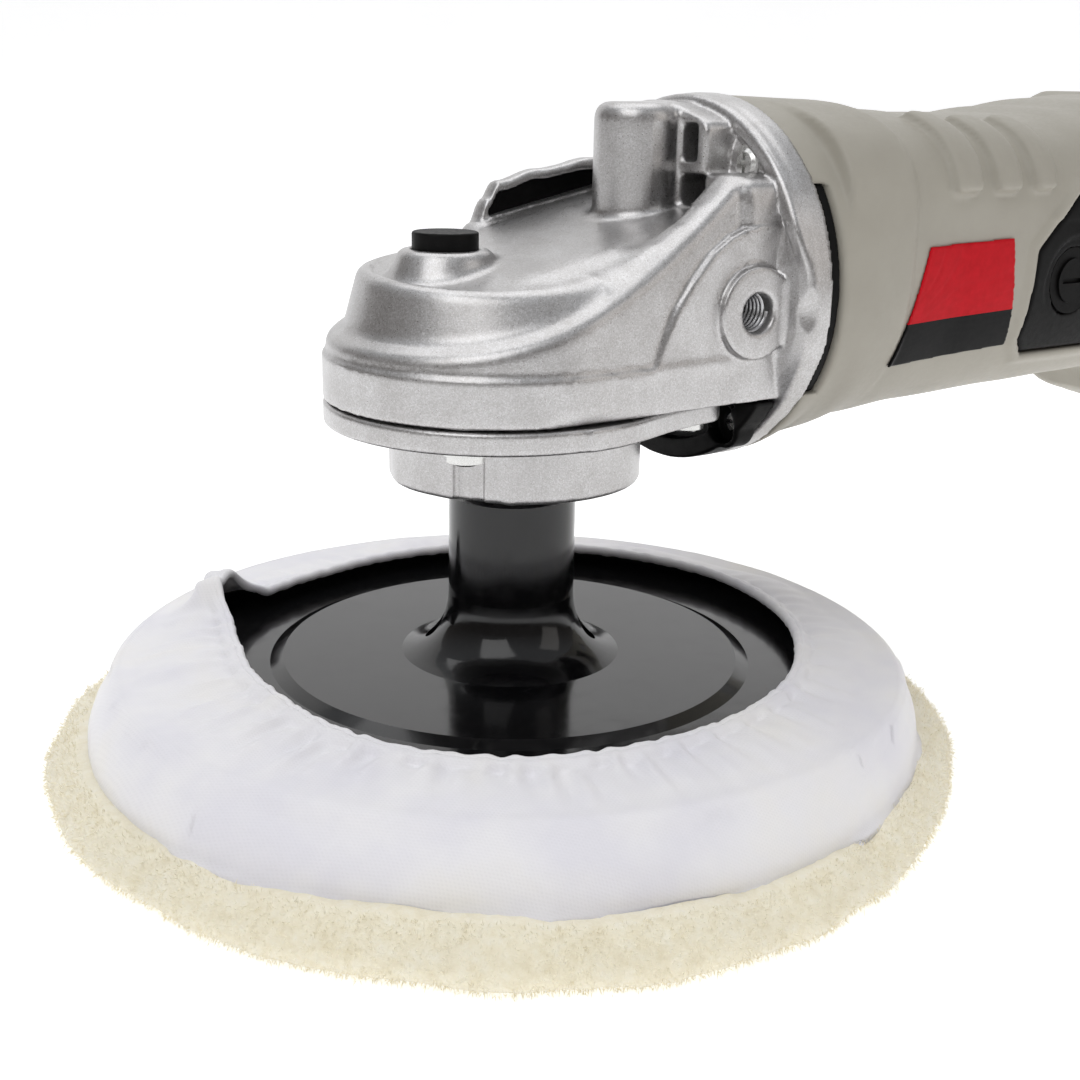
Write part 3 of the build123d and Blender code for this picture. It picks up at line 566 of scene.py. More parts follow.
def head_hollows(s, body, plan, radial):
    """Gear chambers, fan bore, bearing seats, lock bore and threaded holes."""
    body = np.maximum(body, -meet(plan + 4.5, between(s.z, SEAM_Z - 1, BAND_TOP), 0.5))
    body = np.maximum(body, -np.maximum(rod(s.x, s.y, 21.6, GAP_X), between(s.z, SEAM_Z - 1, 103)))
    body = np.maximum(body, -np.maximum(radial - 11.5, between(s.x, 36.5, 54)))
    fan = np.maximum(np.maximum(radial - 28, 47 - s.x), SEAM_Z + 6 - s.z)
    body = np.maximum(body, -fan)
    seats = ((0, 11, 93, 109), (0, 8, 108, 112), (GAP_X, 5.5, 100, 122), (GAP_X, 6, 122, 137),
             (LOCK_X, 7.25, 110, 121), (LOCK_X, 5.2, 98.0, 111), (LOCK_X, 3.1, 90, 105))
    for x, radius, low, high in seats:
        body = np.maximum(body, -np.maximum(rod(s.x, s.y, radius, x), between(s.z, low, high)))
    for x, y in COVER_SCREWS:
        post = np.maximum(rod(s.x, s.y, 5, x, y), between(s.z, SEAM_Z, BAND_TOP))
        body = join(body, post)
        body = np.maximum(body, -np.maximum(rod(s.x, s.y, 2.1, x, y), between(s.z, 83, 93)))

    hole = np.maximum(rod(s.x, s.z, THREAD_R + 0.8, *SIDE_BOSS), between(s.side, 19.6, 38))
    lead = rod(s.x, s.z, 0, *SIDE_BOSS) - (THREAD_R + 1.3 - (SIDE_BOSS_FACE + 0.9 - s.side))
    body = np.maximum(np.maximum(body, -hole), -np.maximum(lead, 33 - s.side))
    for y, z in FLANGE_SCREWS:
        body = np.maximum(body, -np.maximum(rod(s.y, s.z, 2.1, y, z), between(s.x, 40, 54)))
    return body


def air_baffle():
    """Black half moon below the parting line, in front of the ring."""
    s = Space((40.5, 48), (-42, 42), (62, 85), DETAIL_STEP)
    radial = rod(s.side, s.z, 0.0, 0, MOTOR_Z)
    moon = meet(meet(radial - BAFFLE_R, s.z - SEAM_Z + 0.3, 0.8), between(s.x, 41.2, 47.1), 0.8)
    moon = cut(moon, np.maximum(meet(radial - 35.5, s.z - 82.0, 1.0), s.x - 43.4), 0.6)
    for y, z in FLANGE_SCREWS[::2]:
        post = meet(rod(s.y, s.z, 5.6, y, z), between(s.x, 41.8, 47), 0.4)
        moon = cut(join(moon, post, 0.6), np.maximum(rod(s.y, s.z, 4.4, y, z), s.x - 44.6), 0.3)
        moon = np.maximum(moon, -np.maximum(rod(s.y, s.z, 2.1, y, z), between(s.x, 40, 49)))
    moon = np.maximum(moon, -np.maximum(radial - 22, between(s.x, 40, 48)))
    settle(surface("air_baffle_moulded", s, moon), "root", "black_plastic", "air_baffle")


def bearing_cover():
    """Cover plate and collar; the front of the collar is stepped round the two front screws."""
    s = Space((-44, 43), (-39, 39), (64.5, 85), DETAIL_STEP + 0.05)
    nose = rod(s.x, s.y, NOSE_R, NOSE_X)
    ears = rod(s.x, s.side, 7.0, 33, 20)
    web = polygon(s.x, s.side, [(NOSE_X, 0), (NOSE_X, NOSE_R - 0.3), (2, NOSE_R - 0.9),
                                (35.5, 26.6), (40, 20), (40, 0)])
    plan = join(join(nose, ears, 1.0), web, 3.0)
    cover = meet(plan, between(s.z, 79.0, SEAM_Z - 0.12), 0.9)
    turn = np.degrees(np.arctan2(s.side, s.x)) - 123.8
    places = (-3, -1, 1, 4, 5, 11, 12, 19, 25, 26, 37, 50, 57)
    steps = (0, 0.5, 0.3, -0.7, -0.9, -0.9, -2.0, -1.5, -2.0, -0.8, -0.9, -0.5, -0.5)
    reach = 28.35 + np.interp(turn, places, steps).astype(np.float32)
    collar = meet(np.hypot(s.x, s.y) - reach, np.maximum(66 - s.z, s.z - 80), 1.3)
    cover = join(cover, collar, 0.8)
    hollows = ((0, 0, 17.5, 70, 86), (0, 0, 12.6, 64, 71), (GAP_X, 0, 6.1, 80, 86))
    hollows += tuple((x, y, 2.1, 78, 86) for x, y in COVER_SCREWS)
    hollows += tuple((x, y, 5.0, 60, 79) for x, y in COVER_SCREWS)
    for x, y, radius, low, high in hollows:
        cover = cut(cover, np.maximum(rod(s.x, s.y, radius, x, y), between(s.z, low, high)), 0.3)
    settle(surface("bearing_cover_cast", s, cover), "root", "cast_silver", "bearing_cover")


def side_thread(side):
    """The screw thread cut into one side boss."""
    turns, around, depth = 11, 28, 0.62
    points, faces = [], []
    steps = turns * around
    for i in range(steps + 1):
        angle = 2 * pi * i / around
        y = side * (SIDE_BOSS_FACE - 1.2 - THREAD_PITCH * i / around)
        for radius, shift in ((THREAD_R + 0.85, 0.0), (THREAD_R + 0.85 - depth, 0.31),
                              (THREAD_R + 0.85 - depth, 0.60), (THREAD_R + 0.85, 0.95)):
            points.append((SIDE_BOSS[0] + radius * cos(angle), y - side * shift,
                           SIDE_BOSS[1] + side * radius * sin(angle)))
    for i in range(steps):
        for j in range(3):
            a = 4 * i + j
            faces.append((a, a + 1, a + 5, a + 4))
    word = "left" if side < 0 else "right"
    settle(mesh_object(f"side_thread_{word}", points, faces), "root", "steel")


gear_housing()
air_baffle()
bearing_cover()
side_thread(-1)
side_thread(1)


# ---- moulded motor housing ------------------------------------------------------------------
def body_field(s):
    """Outer form of the motor housing: round at the ring, square-shouldered behind it."""
    half = follow(s.x, (52.8, 42.2), (66, 42.0), (79, 41.0))
    top = follow(s.x, (52.8, 147.9), (79, 147.2))
    low = follow(s.x, (52.8, 65.8), (64, 70.6), (79, 74.6))
    mid = follow(s.x, (52.8, 105.5), (82, 120))
    power = follow(s.x, (52.8, 2.0), (80, 2.9))
    collar = squircle(s, half, top, low, mid, power)
    half = follow(s.x, (76, 39.9), (100, 38.6), (136, 38.2), (160, 38.2), (190, 38.2))
    top = follow(s.x, (74, 146.6), (93, 145.2), (104, 144.4), (136, 144.5), (153, 146.2), (172, 148.4), (188, 149.5))
    low = follow(s.x, (60, 70.5), (76, 73.2), (100, 74.6), (136, 75.6), (160, 76.2), (190, 77))
    waist = squircle(s, half, top, low, 120.0 + 0 * s.x, 2.9 + 0 * s.x)
    crease = 76.5 + 3.2 * np.cos((s.z - 112) / 34 * 1.3) + 0 * s.y
    collar = meet(collar, s.x - crease, 1.6)
    collar = np.maximum(collar, JOINT_X + 0.05 - s.x)
    waist = np.maximum(waist, np.maximum(60 - s.x, s.x - BODY_REAR))
    return join(collar, waist, 1.2)


def squircle(s, half, top, low, mid, power):
    """Rounded-square section with its widest line at height mid."""
    tall = np.where(s.z > mid, top - mid, mid - low)
    u = np.abs(s.side / half) ** power
    v = np.abs((s.z - mid) / tall) ** power
    return ((u + v) ** (1 / power) - 1) * np.minimum(half, tall)


PANEL = [(124.5, 92), (124.5, 113.5), (137.5, 126.5), (163, 126.5), (168, 121), (168, 93), (163, 88), (128.5, 88)]
RIBS = ((96.0, 4.6), (109.8, 4.4), (123.0, 3.8))


def motor_housing():
    """Moulded motor housing with finger ribs, panel frames, side vents and its bores."""
    s = Space((51, 192), (-45, 45), (61, 152), BODY_STEP)
    outer = body_field(s)
    for x, half in RIBS:
        rib = meet(outer - 1.8, between(s.x, x - half, x + half), 1.6)
        rib = meet(rib, np.maximum(127.5 - s.z, 21 - s.side), 2.0)
        outer = join(outer, rib, 0.8)
    frame_line = polygon(s.x, s.z, PANEL)
    rim = meet(outer - 0.8, between(frame_line, 0.4, 3.2), 1.2)
    rim = np.maximum(rim, 28 - s.side)
    body = join(outer, rim, 1.0)
    recess = np.maximum(np.maximum(frame_line - 0.45, 28 - s.side), -(outer + 2.6))
    body = np.maximum(body, -recess)
    radial = rod(s.side, s.z, 0.0, 0, MOTOR_Z)
    for radius, start, end in ((35, 50, 78.5), (31, 78, 127.5), (28, 127, 151), (9.5, 150, 158), (6, 150, 165)):
        body = np.maximum(body, -np.maximum(radial - radius, between(s.x, start, end)))
    rear = meet(between(s.z, 86, 138), s.side - 31, 6)
    body = np.maximum(body, -np.maximum(rear, 163 - s.x))
    for y, z in FLANGE_SCREWS:
        body = join(body, np.maximum(np.maximum(rod(s.y, s.z, 5, y, z), between(s.x, 57, 62.5)), outer + 0.4))
        body = np.maximum(body, -np.maximum(rod(s.y, s.z, 2.1, y, z), between(s.x, 50, 61)))
    body = np.maximum(body, -np.maximum(rod(s.x, s.z, 8.3, BRUSH_X, MOTOR_Z), 20 - s.side))
    vent = np.maximum(np.maximum(s.x - 57, 38.4 - radial), np.maximum(between(s.z, 85.2, 130.2), 26 - s.side))
    body = np.maximum(body, -vent)
    for i in range(3):
        x = 56.5 + 5.5 * i
        body = np.maximum(body, -box(s, (x, x + 2.6), (5, 16), (55, 75)))
    settle(surface("motor_housing_moulded", s, body), "root", "housing_beige", "motor_housing")


def side_pieces(side):
    """Name plate and brush panel of one side, laid on the housing's own surface."""
    word = "left" if side < 0 else "right"
    ys = (-44.5, -27) if side < 0 else (27, 44.5)
    s = Space((74, 120), ys, (86, 120), DETAIL_STEP)
    skin = body_field(s)
    shape = polygon(s.x, s.z, [(78.2, 88.8), (85.0, 116.2), (114.2, 117.0), (119.6, 90.8)])
    plate = meet(meet(skin - 0.6, -(skin - 0.08)), shape, 0.0)
    settle(surface(f"name_plate_{word}_skin", s, plate), "root", "plate_red_black", f"name_plate_{word}")
    s = Space((52, 58.5), ys, (85, 132), DETAIL_STEP)
    strip = meet(body_field(s) + 1.1, between(s.x, JOINT_X + 0.1, 56.6), 0.5)
    strip = np.maximum(np.maximum(strip, between(s.z, 85.4, 130.0)), 38.6 - np.hypot(s.side, s.z - MOTOR_Z))
    settle(surface(f"side_vent_{word}_strip", s, strip), "root", "black_plastic", f"side_vent_{word}")
    s = Space((122, 171), ys, (85, 130), DETAIL_STEP + 0.1)
    skin = body_field(s)
    shape = polygon(s.x, s.z, PANEL)
    panel = meet(meet(skin - 0.15, shape, 1.0), -(skin + 2.4))
    dish = rod(s.x, s.z, 10.5, BRUSH_X, MOTOR_Z)
    panel = cut(panel, np.maximum(dish, 37.35 - s.side), 0.8)
    panel = np.maximum(panel, -rod(s.x, s.z, 5.65, BRUSH_X, MOTOR_Z))
    panel = np.maximum(panel, -np.maximum(rod(s.x, s.z, 8.3, BRUSH_X, MOTOR_Z), s.side - 37.05))
    for i in range(5):
        z = 94 + 6.2 * i
        panel = cut(panel, meet(between(s.x, 153, 165), between(s.z, z, z + 2.8), 1.0), 0.5)
    settle(surface(f"brush_panel_{word}_moulded", s, panel), "root", "black_plastic", f"brush_panel_{word}")


motor_housing()
side_pieces(-1)
side_pieces(1)


# ---- rear handle ----------------------------------------------------------------------------
HANDLE_OUTER = [(150, 149.5), (228, 151.5), (318, 147), (337, 134), (343, 100), (338, 66),
                (322, 52), (238, 54), (210, 63), (190, 76.8), (150, 77)]
HANDLE_GAP = [(232, 113), (300, 110), (314, 102), (314, 80), (304, 72), (240, 73), (226, 82), (225, 104)]


def handle_half(side):
    """Half shell of the D handle, with its screw posts and the openings for the controls."""
    word = "left" if side < 0 else "right"
    ys = (-41, 1.2) if side < 0 else (-1.2, 41)
    s = Space((188, 347), ys, (49, 155), BODY_STEP + 0.1)
    outer = polygon(s.x, s.z, HANDLE_OUTER)
    outer = corner_round(s, outer, 12)
    gap = corner_round(s, -polygon(s.x, s.z, HANDLE_GAP), 8)
    half = follow(s.x, (190, 38.2), (238, 17.5))
    wall = meet(meet(outer, gap, 0.0), s.side - half, 13)
    skin = squircle(s, 38.2 + 0 * s.x, 149.5 + 0 * s.x, 77 + 0 * s.x, 120.0 + 0 * s.x, 2.9 + 0 * s.x)
    wall = np.maximum(wall, skin - follow(s.x, (190, 0.0), (202, 4.0), (222, 40.0)))
    shell = np.maximum(wall, -(wall + 3.2))
    for x, z in HANDLE_SCREWS:
        post = np.maximum(rod(s.x, s.z, 6, x, z), s.side - half + 1.5)
        shell = join(shell, np.maximum(post, wall + 0.4), 1.0)
        shell = np.maximum(shell, -np.maximum(rod(s.x, s.z, 1.9, x, z), between(s.y, -18, 12)))
        if side < 0:
            shell = cut(shell, np.maximum(rod(s.x, s.z, 4.1, x, z), s.y + 13.5), 0.5)
    shell = np.maximum(shell, -box(s, (238, 272), (-1, 7.2), (106, 121)))
    shell = np.maximum(shell, -box(s, (193.4, 218.6), (-1, 3.7), (140, 156)))
    shell = np.maximum(shell, -np.maximum(rod(s.y, s.z, 7.05, 0, 88), 330 - s.x))
    if side < 0:
        shell = np.maximum(shell, -np.maximum(rod(s.x, s.z, 4.2, 258, 131), s.y + 10))
    shell = meet(shell, side * -s.y + 0.12, 0.7)
    shell = np.maximum(shell, BODY_REAR + 0.15 - s.x)
    settle(surface(f"handle_{word}_moulded", s, shell), "root", "housing_beige", f"handle_{word}")


def corner_round(s, distance, radius):
    """Round the outer corners of an outline that is constant along Y."""
    flat = np.broadcast_to(distance, (s.shape[0], 1, s.shape[2]))[:, 0]
    grow = -flat - radius
    inside = grow > 0
    # distance to the inset outline, measured from the points on its edge
    shifted = [np.roll(inside, shift, axis) for axis in (0, 1) for shift in (1, -1)]
    edge = inside ^ np.logical_and.reduce(shifted + [inside])
    ix, iz = np.nonzero(edge)
    xs = s.x.ravel()[ix]
    zs = s.z.ravel()[iz]
    far = np.full(flat.shape, 1e9, np.float32)
    for x, z in zip(xs, zs):
        far = np.minimum(far, (s.x[:, 0] - x) ** 2 + (s.z[:, 0] - z) ** 2)
    far = np.sqrt(far)
    result = np.where(inside, -radius - far, far - radius)
    return result[:, None, :].astype(np.float32)


# ---- bonnet ---------------------------------------------------------------------------------
SEW_R, SEW_Z = 95.0, 9.6
HEM_R, HEM_TOP = 67.0, 28.4
AROUND, ACROSS = 560, 38
TUFT = radians(133)
CLOTH_FRAMES = 25
CLOTH_SLACK = 0.20
CLOTH_REACH = 2.4
WOOL_AROUND = 760
FIBRES = 42000


def near_bulge(angle):
    """1 at the front left, where the bonnet spreads most, and 0 a quarter turn away."""
    return np.clip(np.cos(angle + radians(122)), 0, 1) ** 3


def bonnet_outline(angle):
    """How far the bonnet stands out of round at each angle."""
    lobes = 2.0 * np.cos(angle + radians(142)) + 0.9 * np.cos(2 * angle + 0.6)
    return lobes + 0.5 * np.cos(5 * angle + 2.0) + 3.4 * near_bulge(angle)


def hem_outline(angle):
    """How far the hem lies in or out of its mean circle: pulled in at the left, slack at the back."""
    turns = np.radians((-180, -171, -153, -140, -121, -99, -70, -40, -5, 9, 41, 74, 104, 122, 133, 146, 159, 180))
    shift = (-5.0, -4.6, -1.2, 1.2, 2.4, 0.4, -0.8, -0.6, 2.2, 3.6, 3.0, 1.0, -1.6, -0.2, 3.0, -2.0, -5.0, -5.0)
    return np.interp(angle, turns, shift)


def skirt_rows():
    """Radius and height from the seam with the wool up over the edge and in to the hem."""
    path = np.array([(SEW_R, SEW_Z), (96.4, 15.0), (95.9, 19.0), (93.8, 23.2), (90.2, 26.3), (85.5, 28.2),
                     (80, 29.3), (74.5, 29.9), (70.2, 29.6), (HEM_R, HEM_TOP)])
    return resample(path, ACROSS)


def resample(path, count):
    """Evenly spaced and slightly smoothed points along a path."""
    steps = np.r_[0, np.cumsum(np.hypot(*np.diff(path, axis=0).T))]
    at = np.linspace(0, steps[-1], count)
    fine = np.stack([np.interp(at, steps, path[:, k]) for k in (0, 1)], 1)
    for _ in range(3):
        fine[1:-1] = (fine[:-2] + 2 * fine[1:-1] + fine[2:]) / 4
    return fine


def ring_faces(rows, columns):
    """Quads between rows of points that close round the axis."""
    j, i = np.meshgrid(np.arange(rows - 1), np.arange(columns), indexing="ij")
    a = j * columns + i
    b = j * columns + (i + 1) % columns
    return np.stack([a.ravel(), b.ravel(), (b + columns).ravel(), (a + columns).ravel()], 1)


def skirt_points(rows):
    """Skirt as it is sewn: seeded with slanted gathers that fade away from the hem."""
    angle = np.linspace(-pi, pi, AROUND, endpoint=False)[None]
    share = np.linspace(0, 1, len(rows))[:, None]
    radius = rows[:, :1] + bonnet_outline(angle) * (1 - share) + hem_outline(angle) * ease((share - 0.45) / 0.55)
    height = rows[:, 1:] + 0 * angle
    near_hem = ease((share - 0.42) / 0.5)
    slant = 1.1 * (1 - share)
    wave = np.sin(angle * 58 + slant * 6 + 2.2 * np.sin(3 * angle) + 1.3 * np.sin(7 * angle + 1))
    wave = wave + 0.55 * np.sin(angle * 93 - slant * 4 + 2.0 * np.sin(5 * angle + 2))
    strength = 0.6 + 0.4 * np.cos(angle + radians(150))
    height = height + 0.72 * near_hem * wave * strength * (1 - 0.75 * ease((share - 0.9) / 0.1))
    long_fold = np.sin(9 * angle + 3.0 * share + 1.2 * np.sin(2 * angle))
    height = height + 0.5 * (long_fold * ease(share / 0.4) * ease((1 - share) / 0.3))
    points = np.stack([radius * np.cos(angle), radius * np.sin(angle), height], -1)
    return points.reshape(-1, 3)


def relax_cloth(piece, rest, pinned):
    """Let the extra length of the cut cloth buckle between its seam and its hem."""
    piece.shape_key_add(name="Basis")
    key = piece.shape_key_add(name="cut")
    key.data.foreach_set("co", (rest * MM).astype(np.float32).ravel())
    group = piece.vertex_groups.new(name="pin")
    group.add([int(i) for i in pinned], 1.0, "REPLACE")
    cloth = piece.modifiers.new("cloth", "CLOTH")
    settings = cloth.settings
    settings.rest_shape_key = key
    settings.vertex_group_mass = "pin"
    settings.quality = 8
    settings.mass = 0.15
    settings.tension_stiffness = 25
    settings.compression_stiffness = 25
    settings.shear_stiffness = 8
    settings.bending_stiffness = 0.08
    settings.air_damping = 2
    settings.effector_weights.gravity = 0.15
    cloth.collision_settings.use_collision = False
    cloth.collision_settings.use_self_collision = False
    scene = bpy.context.scene
    cloth.point_cache.frame_start = 1
    cloth.point_cache.frame_end = 30
    for number in range(1, CLOTH_FRAMES + 1):
        scene.frame_set(number)
    shaped = piece.evaluated_get(bpy.context.evaluated_depsgraph_get())
    result = np.zeros(len(piece.data.vertices) * 3, np.float32)
    shaped.data.vertices.foreach_get("co", result)
    scene.frame_set(1)
    piece.modifiers.remove(cloth)
    piece.shape_key_clear()
    piece.vertex_groups.remove(group)
    return result.reshape(-1, 3) / MM


def bonnet_sleeve():
    """Sleeve of the bonnet, drawn in over the plate, with its hem."""
    rows = skirt_rows()
    points = skirt_points(rows)
    piece = mesh_object("bonnet_skirt", points, ring_faces(len(rows), AROUND))
    share = np.repeat(np.linspace(0, 1, len(rows)), AROUND)
    widen = 1 + CLOTH_SLACK * ease((share - 0.3) / 0.7)
    rest = points.copy()
    rest[:, 0] *= widen
    rest[:, 1] *= widen
    edge = np.nonzero((share < 0.03) | (share > 0.985))[0]
    moved = relax_cloth(piece, rest, edge)
    shift = np.clip(moved - points, -CLOTH_REACH, CLOTH_REACH) * (1 - 0.7 * ease((share - 0.88) / 0.1))[:, None]
    points = points + shift
    points = raise_tuft(points, len(rows))
    radius = np.hypot(points[:, 0], points[:, 1])
    floor = np.interp(radius, (52, 88, 94, 97), (25.6, 24.9, 20.0, 8.0)) + 0.5
    points[:, 2] = np.maximum(points[:, 2], np.where(radius < 90, floor, points[:, 2]))
    piece.data.vertices.foreach_set("co", (points * MM).astype(np.float32).ravel())
    thick = piece.modifiers.new("thickness", "SOLIDIFY")
    thick.thickness = 0.45 * MM
    thick.offset = -1
    settle(piece, "spindle_assembly", "sleeve_fabric", "bonnet_sleeve")
    hem = bonnet_hem(points[-AROUND:])
    return piece


def raise_tuft(points, rows):
    """A pinch of spare cloth that stands up at the back of the hem."""
    angle = np.arctan2(points[:, 1], points[:, 0])
    share = np.repeat(np.linspace(0, 1, rows), AROUND)
    off = np.angle(np.exp(1j * (angle - TUFT)))
    bump = np.exp(-np.abs(off / 0.12) ** 3) * ease((share - 0.5) / 0.4)
    ripple = 1 + 0.16 * np.sin(off * 60 + 5 * share)
    points[:, 2] += 6.5 * bump * ripple
    points[:, 0] += 3.0 * bump * np.cos(angle) * share
    points[:, 1] += 3.0 * bump * np.sin(angle) * share
    side = np.exp(-((off + 0.22) / 0.12) ** 2) * np.exp(-((share - 0.6) / 0.16) ** 2)
    points[:, 2] -= 1.6 * side
    return points


def bonnet_hem(edge):
    """Rolled hem with the elastic inside, crinkled by its gathers."""
    around, section = len(edge), 10
    inward = edge[:, :2] / np.hypot(edge[:, 0], edge[:, 1])[:, None]
    angle = np.arctan2(edge[:, 1], edge[:, 0])
    tuck = 1.0 + 0.05 * np.sin(angle * 122 + 3 * np.sin(4 * angle)) + 0.05 * np.sin(angle * 71 + 1)
    rows = []
    for k in range(section + 1):
        turn = 2 * pi * k / section
        out = 1.15 * tuck * cos(turn)
        up = 1.25 * tuck * sin(turn) - 0.9
        rows.append(np.c_[edge[:, :2] + inward * (out - 0.2)[:, None], edge[:, 2] + up])
    points = np.concatenate(rows[:-1])
    faces = []
    for k in range(section):
        i = np.arange(around)
        a, b = k * around + i, ((k + 1) % section) * around + i
        n = (i + 1) % around
        faces.append(np.stack([a, k * around + n, ((k + 1) % section) * around + n, b], 1))
    piece = mesh_object("bonnet_hem", points, np.concatenate(faces))
    return settle(piece, "spindle_assembly", "sleeve_fabric", "hem_elastic")


def wool_pile():
    """Lambswool under and round the pad: its clumped surface, and the points and directions that the short fibres
    grow from.
    """
    columns = WOOL_AROUND
    path = np.array([(0.5, 1.2), (40, 1.0), (70, 0.7), (90, 0.5), (97.0, 1.0), (100.6, 3.0), (101.6, 5.6),
                     (100.4, 8.6), (97.8, 10.8), (94.8, 11.8), (91.6, 11.8)])
    rows = resample(path, 96)
    angle = np.linspace(0, 2 * pi, columns, endpoint=False)[None]
    share = ease((rows[:, :1] - 60) / 35)
    radius = rows[:, :1] + (bonnet_outline(angle) + 1.4 * near_bulge(angle) + 0.8 * np.cos(4 * angle + 1)) * share
    points = np.stack([radius * np.cos(angle), radius * np.sin(angle), rows[:, 1:] + 0 * angle], -1).reshape(-1, 3)
    out = np.repeat(normals_2d(rows), columns, 0)
    heading = np.tile(angle[0], len(rows))
    normal = np.c_[out[:, 0] * np.cos(heading), out[:, 0] * np.sin(heading), out[:, 1]]
    depth = 0.8 * lumps(points, 11.0, 3) + 0.22 * lumps(points, 3.0, 4) + 0.12 * lumps(points, 1.2, 5)
    points = points + normal * (depth * np.repeat(0.25 + 0.75 * share[:, 0], columns))[:, None]
    points[:, 2] = np.maximum(points[:, 2], 0.05)
    piece = mesh_object("wool_pile", points, ring_faces(len(rows), columns))
    settle(piece, "spindle_assembly", "wool", "wool_pad")
    return points, normal, rows, columns


def normals_2d(path):
    """Outward direction at each point of a profile."""
    along = np.gradient(path, axis=0)
    out = np.c_[along[:, 1], -along[:, 0]]
    return out / np.linalg.norm(out, axis=1)[:, None]


def wool_fibres(points, normal, rows, columns):
    """Short tapered fibres that break up the outline of the pile."""
    rng = np.random.default_rng(11)
    outer = np.nonzero(np.repeat((rows[:, 0] > 93) & (rows[:, 1] < 11.6), columns))[0]
    pick = rng.choice(outer, FIBRES)
    root = points[pick] + rng.normal(0, 0.35, (len(pick), 3))
    lean = normal[pick] + rng.normal(0, 0.42, (len(pick), 3)) + (0, 0, -0.15)
    lean /= np.linalg.norm(lean, axis=1)[:, None]
    length = rng.uniform(0.5, 1.1, len(pick))[:, None]
    across = np.cross(lean, rng.normal(0, 1, lean.shape))
    across /= np.linalg.norm(across, axis=1)[:, None]
    wide = 0.09 * across
    bend = rng.normal(0, 0.3, lean.shape) * length
    middle = root + lean * length * 0.55 + bend * 0.3
    tip = root + lean * length + bend
    blades = np.stack([root - wide, root + wide, middle + wide * 0.7, middle - wide * 0.7, tip], 1)
    blades[:, :, 2] = np.maximum(blades[:, :, 2], 0.03)
    base = 5 * np.arange(len(pick))[:, None]
    faces = np.concatenate([base + (0, 1, 2), base + (0, 2, 3), base + (3, 2, 4)])
    piece = mesh_object("wool_fibres", blades.reshape(-1, 3), faces)
    return settle(piece, "spindle_assembly", "wool")


def foam_disc():
    """The flat foam between plate and wool, with a slightly crowned edge."""
    path = np.array([(0.5, 8.9), (60, 8.9), (83, 9.0), (86.2, 10.6), (87.0, 13.5), (86.8, 17), (85.6, 19.2),
                     (60, 19.35), (0.5, 19.35)])
    rows = resample(path, 60)
    angle = np.linspace(0, 2 * pi, 240, endpoint=False)[None]
    points = np.stack([rows[:, :1] * np.cos(angle), rows[:, :1] * np.sin(angle), rows[:, 1:] + 0 * angle], -1)
    piece = mesh_object("foam_disc", points.reshape(-1, 3), ring_faces(len(rows), 240))
    settle(piece, "spindle_assembly", "foam", "foam_pad")


handle_half(-1)
handle_half(1)
bonnet_sleeve()
wool_fibres(*wool_pile())
foam_disc()


# ---- floor, light and camera ----------------------------------------------------------------
def floor():
    """Pale sweep: flat under the tool, curving up far behind it."""
    length, rise, count = 3.2, 1.6, 24
    profile = [(-4.0, 0.0), (2.0, 0.0)]
    profile += [(2.0 + rise * sin(a), rise * (1 - cos(a))) for a in np.linspace(0.05, pi / 2, count)]
    profile += [(2.0 + rise, 4.0)]
    heading = radians(-33.8)
    points, faces = [], []
    for along, up in profile:
        for across in (-length * 1.6, length * 1.6):
            x = across * cos(heading) - along * sin(heading)
            y = across * sin(heading) + along * cos(heading)
            points.append((x / MM, y / MM, up / MM))
    faces = [(2 * i, 2 * i + 1, 2 * i + 3, 2 * i + 2) for i in range(len(profile) - 1)]
    piece = mesh_object("floor", points, faces)
    s = Shader("floor")
    s.plug(s.ramp(s.noise(400, 2), (0.3, (0.86, 0.86, 0.86)), (0.7, (0.90, 0.90, 0.90))), "Base Color")
    s.set(Roughness=0.9, Specular_IOR_Level=0.1, Emission_Color=(1, 1, 1, 1), Emission_Strength=0.52)
    piece.data.materials.append(s.material)


def light(name, place, target, size, power, colour=(1, 1, 1)):
    lamp = bpy.data.lights.new(name, "AREA")
    lamp.shape = "RECTANGLE"
    lamp.size, lamp.size_y = size
    lamp.energy = power
    lamp.color = colour
    holder = bpy.data.objects.new(name, lamp)
    holder.location = place
    holder.rotation_euler = (Vector(target) - Vector(place)).to_track_quat("-Z", "Y").to_euler()
    bpy.context.scene.collection.objects.link(holder)


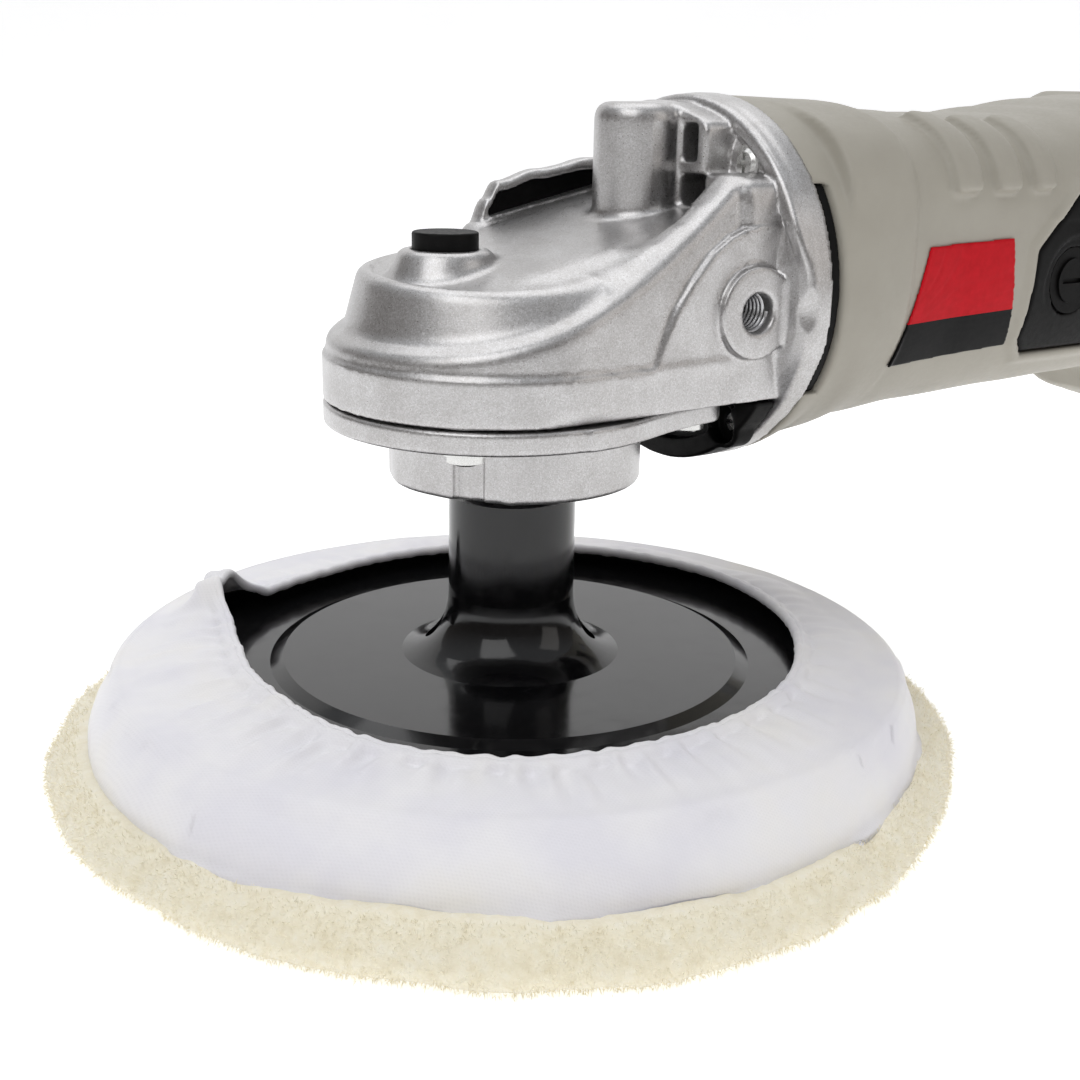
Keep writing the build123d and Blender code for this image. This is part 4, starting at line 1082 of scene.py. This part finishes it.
def studio():
    """Bright above, darker and warmer towards the horizon, so that metal has something to mirror."""
    world = bpy.data.worlds.new("studio")
    world.use_nodes = True
    nodes, links = world.node_tree.nodes, world.node_tree.links
    ramp = nodes.new("ShaderNodeValToRGB")
    parts = nodes.new("ShaderNodeSeparateXYZ")
    links.new(nodes.new("ShaderNodeTexCoord").outputs["Generated"], parts.inputs["Vector"])
    links.new(parts.outputs["Z"], ramp.inputs["Fac"])
    links.new(ramp.outputs["Color"], nodes["Background"].inputs["Color"])
    ends = ramp.color_ramp.elements
    ends[0].position, ends[0].color = 0.02, (0.20, 0.17, 0.15, 1)
    ends[1].position, ends[1].color = 0.75, (0.95, 0.97, 1.0, 1)
    middle = ends.new(0.30)
    middle.color = (0.42, 0.40, 0.39, 1)
    nodes["Background"].inputs["Strength"].default_value = 0.55
    bpy.context.scene.world = world
    bpy.context.scene.view_settings.view_transform = "Standard"
    light("key", (-0.75, -0.45, 0.95), (0.02, 0, 0.08), (0.9, 0.9), 4.2)
    light("top", (0.15, 0.25, 1.15), (0.08, 0, 0.1), (1.3, 1.0), 5.0)
    light("fill", (0.75, -0.95, 0.55), (0.08, 0, 0.08), (0.7, 0.9), 1.6, (1.0, 0.96, 0.92))


def camera():
    """Seen from the front left, a little above the head."""
    turn, pitch, roll = radians(33.92), radians(16.92), radians(1.09)
    ahead = Vector((sin(turn) * cos(pitch), cos(turn) * cos(pitch), -sin(pitch)))
    right = Vector((cos(turn), -sin(turn), 0))
    up = right.cross(ahead)
    right, up = cos(roll) * right + sin(roll) * up, cos(roll) * up - sin(roll) * right
    lens = bpy.data.cameras.new("camera")
    lens.lens, lens.sensor_width = 50.0, 36.0
    lens.clip_start, lens.clip_end = 0.01, 20
    eye = bpy.data.objects.new("camera", lens)
    place = Matrix((right, up, -ahead)).transposed().to_4x4()
    place.translation = Vector((-176.76, -274.41, 149.57)) * MM
    eye.matrix_world = place
    bpy.context.scene.collection.objects.link(eye)
    bpy.context.scene.camera = eye


floor()
studio()
camera()

bpy.context.view_layer.update()
